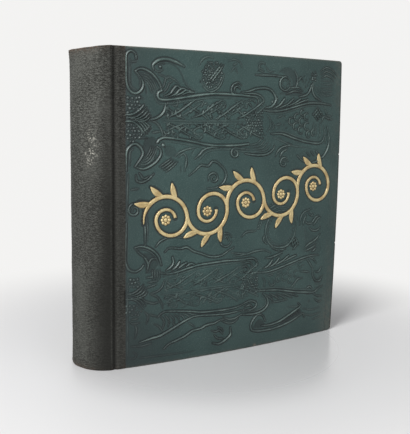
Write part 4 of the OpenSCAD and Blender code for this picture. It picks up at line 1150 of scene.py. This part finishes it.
def front_relief(material):
    """The front cover's cloth with its blind relief, in three pieces from tail to head."""
    xs = face_lines(BORDER_X, COVER_W - EDGE_R, FACE_STEP)
    zs = face_lines(EDGE_R, HEIGHT - EDGE_R, FACE_STEP)
    x, z = np.meshgrid(xs, zs)
    relief = Relief(xs, zs)
    stamp_front(relief)
    recess = recess_round_vine(relief)
    clear = 1 - recess
    ridge = relief.raised * clear
    dip = np.minimum(1, 1.5 * relief.groove) * (1 - smooth(relief.raised, 0.05, 0.6)) * clear
    sunk = box_blur(relief.sunk, 1) * (1 - smooth(relief.raised, 0.1, 0.6)) * clear
    border = peak(x, BORDER_X, 2.0)
    height = FACE_LIFT + RELIEF_LIFT * (ridge - GROOVE_SHARE * dip) + relief.swell * clear - sunk
    height += 0.10 * ripple(x, z, 60, 1) + 0.03 * ripple(x, z, 9, 2) - RECESS * recess - BORDER_DIP * border
    height = np.maximum(height, -CLOTH_T + 0.1)
    notch = peak(x, BORDER_X, 1.6) * border_notch(z)
    # Painted shade in grooves, hollows, round the gilt and at the border, with the stamp's darker tone and
    # the notch
    pressed_and_shade = 1.15 * dip + 0.6 * recess + 0.35 * border + 0.75 * sunk + notch + soil_and_shade(x, z)
    chip = peak(x, CHIP_X, 2.5) * peak(z, 0, 3.0)
    values = {
        "wear": np.maximum(edge_wear(x, z), 1.5 * chip),
        "pressed_and_shade": np.clip(pressed_and_shade, 0, 1),
        "raised": np.clip(ridge, 0, 1),
    }
    last = len(zs) - 1
    cuts = np.linspace(0, last, len(FACE_PIECES) + 1).astype(int)
    for name, start, stop in zip(FACE_PIECES, cuts[:-1], cuts[1:]):
        rows = slice(start, stop + 1)
        part = {key: numbers[rows] for key, numbers in values.items()}
        piece = cover_shell(name, xs, zs[rows], height[rows], part, material, False, start == 0, stop == last)
        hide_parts("front_cover_cloth")


def back_cover(material):
    """The plain back cover's cloth."""
    xs = face_lines(BORDER_X, COVER_W - EDGE_R, BACK_FACE_STEP)
    zs = face_lines(EDGE_R, HEIGHT - EDGE_R, BACK_FACE_STEP)
    x, z = np.meshgrid(xs, zs)
    height = 0.12 * ripple(x, z, 70, 5) + 0.03 * ripple(x, z, 12, 6)
    # Painted shade along the step at the border
    values = {"wear": edge_wear(x, z), "pressed_and_shade": 0.8 * np.exp(-(x - BORDER_X) / 0.9)}
    piece = cover_shell("back_cover_cloth_worn", xs, zs, height, values, material, back=True)
    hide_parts("back_cover_cloth")


# Dark cloth of the back

RIB_PITCH = 1.7
RIB_HEIGHT = 0.34
RIB_FADE = 3.0
ROW_STEP = 0.43
FOLD_R = 1.2
FOLD_POWER = 0.7
BACK_STEPS = 88
BACK_SWELL = 1.4
HEAD_DIP = 3.8
HEAD_DIP_REACH = 40.0
# How far the cloth flares at head and tail, and how fast that fades
HEAD_FLARE = (1.1, 9)
TAIL_FLARE = (0.7, 8)
GROOVE_DEPTH = 1.4
GROOVE_SKEW = 1.5
JOINT_CLOTH_T = 0.55
JOINT_STEPS, LAP_STEPS = 19, 13
INLAY_STEPS = 60
INLAY_ROWS = 90
LINEN_T = 0.35
LINEN_STEP = 0.35
LINEN_ROWS = 120
LINEN_BEND_X = (-0.45, 1.55)
# Marks of wear on the back, in mm along its curve from the front groove, and up
SCUFF_S, SCUFF_Z = 21.0, 249.0
SPECK_S, SPECK_Z = 49.5, 295.0


def cloth_rows():
    """Places along z from the turned-in strip at the tail, over the face, to the strip at the head:
    z and how far round the edge (0 on the face, 1 on the inner side)."""
    z_face = np.arange(FOLD_R, HEIGHT - FOLD_R, ROW_STEP)[1:]
    a = np.linspace(0, math.pi, 9)
    fold_z = FOLD_R * (1 - np.abs(np.sin(a)) ** FOLD_POWER)
    fold_in = (1 - np.sign(np.cos(a)) * np.abs(np.cos(a)) ** FOLD_POWER) / 2
    strip = np.linspace(TURN_IN, 2.5, 4)
    z = np.concatenate([strip, fold_z[::-1], z_face, HEIGHT - fold_z, HEIGHT - strip[::-1]])
    way_in = np.concatenate([np.ones(4), fold_in[::-1], 0 * z_face, fold_in, np.ones(4)])
    return z, way_in


def ribbed_sheet(profile, thickness, seed):
    """A ribbed sheet over a plan profile of (x, y): points, quads, and grids of the places along and up."""
    z, way_in = cloth_rows()
    along = np.concatenate([[0], np.cumsum(np.linalg.norm(np.diff(profile, axis=0), axis=1))])
    s_grid, z_grid = np.meshgrid(along, z)
    broken = 0.65 + 0.35 * ripple(s_grid, z_grid, 3.2, seed)
    phase = 2 * math.pi * z_grid / RIB_PITCH + 0.5 * ripple(s_grid, z_grid, 25, seed + 1)
    from_end = np.minimum(s_grid, along[-1] - s_grid)
    rib = RIB_HEIGHT * np.cos(phase) * broken * smooth(from_end, 0, RIB_FADE)
    depth = way_in[:, None] * thickness - rib * (1 - way_in)[:, None]
    xy = profile + left_of(profile) * depth[..., None]
    return sheet(xy[..., 0], xy[..., 1], z_grid), grid_quads(*z_grid.shape), s_grid, z_grid


def head_dip(s, length, z):
    """How far the worn head of the back sinks between the joints; s runs along the curve."""
    share = np.clip(s / length, 0, 1)
    hump = np.sin(math.pi * share) ** 1.2
    worn = HEAD_DIP * hump + 0.4 * hump * ripple(share, 0, 0.12, 24)
    return worn * smooth(z, HEIGHT - HEAD_DIP_REACH, HEIGHT - 4) ** 2


def stiffener(material):
    """The card inlay of the back, with its head worn down as the cloth's."""
    low, high = in_book("spine_stiffener")
    outer = BACK_R - CLOTH_T
    end = math.acos((BACK_X - high[0]) / outer)
    angle = np.linspace(end, -end, INLAY_STEPS)
    a = np.concatenate([angle, angle[::-1], angle[:1]])
    x, y = round_back(np.repeat([outer, outer - STIFFENER_T, outer], [INLAY_STEPS, INLAY_STEPS, 1]), a)
    z = np.linspace(low[2], high[2], INLAY_ROWS)[:, None]
    points = sheet(x, y, z - head_dip((a / end + 1) / 2, 1.0, z))
    near = np.arange(INLAY_STEPS - 1)
    far = 2 * INLAY_STEPS - 1 - near
    cap = np.stack([near, near + 1, far - 1, far], 1)
    faces = np.vstack([grid_quads(len(z), len(a)), cap[:, ::-1], cap + (len(z) - 1) * len(a)])
    piece = make_piece("spine_stiffener_worn", points, faces, material)
    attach(piece, "root")
    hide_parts("spine_stiffener")


def spine(material):
    """The rounded back's cloth, flared and frayed a little at head and tail."""
    profile = np.stack(round_back(BACK_R, np.linspace(-BACK_END, BACK_END, BACK_STEPS)), 1)
    hump = BACK_SWELL * np.sin(np.linspace(0, math.pi, BACK_STEPS))
    points, faces, s, z = ribbed_sheet(profile, STIFFENER_T + 2 * CLOTH_T + hump, 11)
    outward = points[:, :2] - (BACK_X, ALBUM_T / 2)
    outward /= np.linalg.norm(outward, axis=1)[:, None]
    flare = HEAD_FLARE[0] * np.exp(-(HEIGHT - z) / HEAD_FLARE[1]) + TAIL_FLARE[0] * np.exp(-z / TAIL_FLARE[1])
    flare = flare * (1 + 0.35 * ripple(s, z, 16, 21)) + 0.12 * ripple(s, z, 45, 22)
    points[:, :2] += outward * np.reshape(hump + flare, (-1, 1))
    length = s.max()
    points[:, 2] -= head_dip(s, length, z).ravel()
    end_wear = np.maximum(np.exp(-(HEIGHT - z) / 3.0), np.exp(-z / 2.5))
    wear = np.clip(end_wear * (0.8 - 0.6 * np.abs(s / length - 0.5)), 0, 1)
    front_s = length - s
    scuff = 0.95 * peak(front_s, SCUFF_S, 7) * peak(z, SCUFF_Z, 20)
    scuff = np.maximum(scuff, 0.9 * peak(front_s, SPECK_S, 1.6) * peak(z, SPECK_Z, 1.6))
    scuff = np.maximum(scuff, 0.45 * end_wear * smooth(ripple(s, z, 10, 23), 0.0, 0.8))
    # Painted shade with some dirt: darker toward the front groove, the tail and the edge by the back cover
    grime_and_shade = (0.35 + 0.35 * smooth(z, 340, 170)) * smooth(front_s, 36, 3) + 0.25 * smooth(z, 300, 170)
    grime_and_shade += 0.4 * smooth(front_s, length - 16, length) - 0.30 * peak(front_s, 15, 8) * smooth(z, 70, 150)
    values = {"wear": wear, "scuff": scuff, "grime_and_shade": grime_and_shade}
    piece = make_piece("spine_cloth_ribbed", points, faces, material, values, flip=True)
    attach(piece, "root")
    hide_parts("spine_cloth")


def joint_profile():
    """Sunk joint and lap of the front side, from the back's end to the border of the green cloth."""
    end_y = ALBUM_T / 2 - BACK_R * math.sin(BACK_END)
    t = np.linspace(0, 1, JOINT_STEPS)
    dip = (1 - np.cos(2 * math.pi * t ** GROOVE_SKEW)) / 2
    y = (1 - t) * end_y - t * bow(GROOVE_HALF_W) + GROOVE_DEPTH * dip
    lap_x = np.linspace(GROOVE_HALF_W, BORDER_X - 0.05, LAP_STEPS)[1:]
    lap_y = -bow(lap_x) - 0.25 * peak(lap_x, 6.0, 1.4)
    return np.stack([np.append(GROOVE_HALF_W * (2 * t - 1), lap_x), np.append(y, lap_y)], 1)


def bend(piece, back):
    """Bakes a piece's place into its mesh, the same for either cover."""
    if back:
        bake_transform(piece)
    else:
        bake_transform(piece)


def joint_cloth(material, back):
    """The dark cloth from the back over the sunk joint onto a board."""
    profile = joint_profile()
    x = profile[:, 0]
    thickness = JOINT_CLOTH_T + (COVER_T - JOINT_CLOTH_T) * smooth(x, 3.2, 5.0)
    points, faces, _, z = ribbed_sheet(profile, thickness, 31)
    end_wear = np.maximum(np.exp(-(HEIGHT - z) / 2.5), np.exp(-z / 2.5))
    # Darker all over; painted shade with some dirt toward the tail and most in the sunk joint; stripes on the
    # lap
    grime_and_shade = 0.44 + 0.12 * smooth(z, 320, 170) + 0.34 * peak(x, -0.2, 3.2, 4)
    grime_and_shade += 0.08 * np.cos(2 * math.pi * x / 1.9) * smooth(x, 4.5, 6.5)
    if not back:
        grime_and_shade += smooth(x, 10.8, 12.3) * border_notch(z)
    values = {
        "wear": np.clip(0.7 * end_wear + 0.12 * smooth(x, 9, 15), 0, 1),
        "scuff": 0.25 * end_wear,
        "grime_and_shade": np.clip(grime_and_shade, 0, 1),
    }
    side = "back" if back else "front"
    points = mirrored(points) if back else points
    piece = make_piece(f"{side}_joint_cloth_ribbed", points, faces, material, values, flip=back)
    bend(piece, back)
    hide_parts(f"{side}_joint_cloth", f"{side}_cloth_lap")


def inner_joint(material, back):
    """Linen from the block past the flyleaf's fold to the cover, thin and closed."""
    y_low, y_high = INNER_LOW[1], INNER_HIGH[1] - LINEN_T
    path = curve_through([(INNER_LOW[0], y_high), (LINEN_BEND_X[0], y_high), (LINEN_BEND_X[1], y_low),
                          (INNER_HIGH[0], y_low)], LINEN_STEP)
    path[:, 1] = np.clip(path[:, 1], y_low, y_high)
    closed = np.vstack([path, path[::-1] + (0, LINEN_T), path[:1]])
    z = np.linspace(INNER_LOW[2], INNER_HIGH[2], LINEN_ROWS)[:, None]
    points = sheet(closed[:, 0], closed[:, 1] + 0.05 * ripple(z, 0, 20, 41), z)
    points = mirrored(points) if back else points
    side = "back" if back else "front"
    faces = grid_quads(len(z), len(closed))
    piece = make_piece(f"{side}_inner_joint_linen", points, faces, material, flip=not back)
    bend(piece, back)
    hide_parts(f"{side}_inner_joint")


# Head and tail bands

SILK_PITCH = 0.7
SILK_STEPS = 6
SILK_RUN = 4
BEAD_R = 1.0
BEAD_STEPS = 14
SKIRT_ROWS = 8


def band(name, node, material, top):
    """A rolled bead wound with two colours of silk, over a skirt on the block's back."""
    outer = BACK_X - BAND_LOW[0]
    end = math.acos((BACK_X - BAND_HIGH[0] + 1.0) / outer)
    steps = int(2 * end * outer / SILK_PITCH) * SILK_STEPS
    angle = np.linspace(-end, end, steps)[:, None]
    thread = np.arange(steps)[:, None] / SILK_STEPS
    a = np.linspace(0, 2 * math.pi, BEAD_STEPS)
    silk_r = BEAD_R * (0.92 + 0.10 * np.abs(np.sin(math.pi * (thread + a / (2 * math.pi)))))
    bead_z = BAND_HIGH[2] - BEAD_R
    bead = sheet(*round_back(outer - BEAD_R + silk_r * np.cos(a), angle), bead_z + silk_r * np.sin(a))
    skirt_r = outer - 0.05 + 0.04 * np.abs(np.sin(math.pi * thread))
    skirt = sheet(*round_back(skirt_r, angle), np.linspace(BAND_LOW[2], bead_z, SKIRT_ROWS))
    points = np.vstack([bead, skirt])

    def at_points(numbers):
        return np.concatenate([np.repeat(numbers, BEAD_STEPS), np.repeat(numbers, SKIRT_ROWS)])

    if top:
        points[:, 2] -= head_dip(at_points(np.linspace(0, 1, steps)), 1.0, points[:, 2])
    else:
        points[:, 2] = HEIGHT - points[:, 2]
    faces = np.vstack([grid_quads(steps, BEAD_STEPS), grid_quads(steps, SKIRT_ROWS, len(bead))])
    cream = at_points(np.floor(thread / SILK_RUN) % 2)
    piece = make_piece(name, points, faces, material, {"cream": cream}, flip=top)
    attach(piece, "root")
    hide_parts(node)


# Stage, camera and light. The camera's place and angles come from the photograph's outline.

CAMERA_ROW = (-0.4520, -0.73435, 0.2893)
CAMERA_YAW = 0.5471
CAMERA_PITCH = 0.1474
CAMERA_ROLL = -0.0167
FOCAL_PX = 693.9
PHOTO_LONG_SIDE = 434
SENSOR_MM = 36.0
FLOOR_HALF_W = 6.0
FLOOR_DROP = 0.0002
FLOOR_ROUGHNESS = (0.13, 0.6)
# Distances from the album's middle between which the floor turns duller, and then plain
GLOSS_REACH = (0.130, 0.235)
FAR_REACH = (0.19, 0.52)
LIGHT_AIM = (0, 0, 0.18)
# Name, place, size and power
LAMPS = (("key", (-1.62, -0.80, 1.52), 0.9, 66), ("fill", (0.6, -2.2, 1.6), 2.0, 6))


def camera():
    yaw, pitch, roll = CAMERA_YAW, CAMERA_PITCH, CAMERA_ROLL
    ahead = Vector((math.sin(yaw) * math.cos(pitch), math.cos(yaw) * math.cos(pitch), -math.sin(pitch)))
    level = Vector((math.cos(yaw), -math.sin(yaw), 0))
    below = ahead.cross(level)
    right = math.cos(roll) * level + math.sin(roll) * below
    down = -math.sin(roll) * level + math.cos(roll) * below
    data = bpy.data.cameras.new("camera")
    data.sensor_width = SENSOR_MM
    data.lens = FOCAL_PX * SENSOR_MM / PHOTO_LONG_SIDE
    seat = bpy.data.objects.new("camera", data)
    bpy.context.scene.collection.objects.link(seat)
    turn = Matrix((right, -down, -ahead)).transposed().to_4x4()
    seat.matrix_world = Matrix.Translation(CAMERA_ROW) @ turn
    bpy.context.scene.camera = seat


def mix_by_ray(tree, lit, plain, output, share=None):
    """Shows the plain shader to the camera, also in a mirror or through glass, and the lit one to all other
    light. Where a share is given, the camera sees only that share of the plain shader."""
    rays = tree.nodes.new("ShaderNodeLightPath")
    seen = rays.outputs["Is Camera Ray"]
    for kind in ("Is Glossy Ray", "Is Transmission Ray"):
        seen = add_node(tree, "ShaderNodeMath", {0: seen, 1: rays.outputs[kind]}, operation="MAXIMUM")
    if share is not None:
        seen = add_node(tree, "ShaderNodeMath", {0: share, 1: seen}, operation="MULTIPLY")
    blend = add_node(tree, "ShaderNodeMixShader", {0: seen, 1: lit, 2: plain})
    tree.links.new(blend, tree.nodes[output].inputs["Surface"])


def floor():
    """A wide pale floor that keeps the shadow near the album and turns into plain background behind it."""
    mesh = bpy.data.meshes.new("floor")
    corners = [(-FLOOR_HALF_W, -FLOOR_HALF_W, 0), (FLOOR_HALF_W, -FLOOR_HALF_W, 0),
               (FLOOR_HALF_W, FLOOR_HALF_W, 0), (-FLOOR_HALF_W, FLOOR_HALF_W, 0)]
    mesh.from_pydata(corners, [], [(0, 1, 2, 3)])
    ground = bpy.data.objects.new("floor", mesh)
    ground.location.z = -FLOOR_DROP
    bpy.context.scene.collection.objects.link(ground)
    s = Shader("floor", roughness=0.5, specular=0.9)
    reach = s.node("ShaderNodeVectorMath", {0: s.place}, "Value", operation="LENGTH")
    color = s.patches(FLOOR_GLOSSY, FLOOR_NEAR, reach, *GLOSS_REACH)
    s.tree.links.new(color, s.bsdf.inputs["Base Color"])
    s.tree.links.new(s.ramp(reach, *GLOSS_REACH, *FLOOR_ROUGHNESS), s.bsdf.inputs["Roughness"])
    plain = s.node("ShaderNodeEmission", {"Color": (*BACKGROUND, 1)})
    mix_by_ray(s.tree, s.bsdf.outputs[0], plain, "Material Output", s.ramp(reach, *FAR_REACH))
    mesh.materials.append(s.material)


def lights():
    """Two soft lamps, and a dimmer world than the background that the camera sees."""
    for name, place, size, power in LAMPS:
        data = bpy.data.lights.new(name, "AREA")
        data.size = size
        data.energy = power
        lamp = bpy.data.objects.new(name, data)
        lamp.location = place
        lamp.rotation_euler = (Vector(LIGHT_AIM) - Vector(place)).to_track_quat("-Z", "Y").to_euler()
        bpy.context.scene.collection.objects.link(lamp)
    world = bpy.data.worlds.new("studio")
    world.use_nodes = True
    tree = world.node_tree
    shown = tree.nodes["Background"]
    shown.inputs["Color"].default_value = (*BACKGROUND, 1)
    ambient = add_node(tree, "ShaderNodeBackground", {"Color": (*AMBIENT, 1)})
    mix_by_ray(tree, ambient, shown.outputs[0], "World Output")
    bpy.context.scene.world = world


def dress():
    """Makes every visible piece, and gives the CAD nodes that stay visible their materials."""
    green, dark, silk, board = green_cloth(), dark_cloth(), band_cloth(), pulp_board()
    linen = linen_cloth("linen", 0.55, LINEN, LINEN_DARK, 0.08)
    mull = linen_cloth("mull", 1.1, THREAD, LINEN_DARK, 0.15)
    tape = linen_cloth("tape", 0.8, THREAD, LINEN, 0.1)
    front_relief(green)
    gilt_vine(gilt())
    back_cover(green)
    spine(dark)
    band("head_band_silk", "head_band", silk, True)
    band("tail_band_silk", "tail_band", silk, False)
    for back in (False, True):
        joint_cloth(dark, back)
        inner_joint(linen, back)
    stiffener(board)
    leaves = [name for name in frame["nodes"] if name.startswith("leaf_") and name != "leaf_guards"]
    for material, nodes in (
        (board, ("front_board", "back_board", "spine_lining")),
        (end_paper(), ("front_pastedown", "back_pastedown", "front_flyleaf", "back_flyleaf")),
        (linen, ("leaf_guards",)),
        (mull, ("mull",)),
        (tape, ("sewing_tapes", "sewing_threads")),
        (leaf_card(), leaves),
    ):
        for node in nodes:
            paint_node(node, material)


dress()
camera()
floor()
lights()
bpy.context.scene.view_settings.view_transform = "Standard"
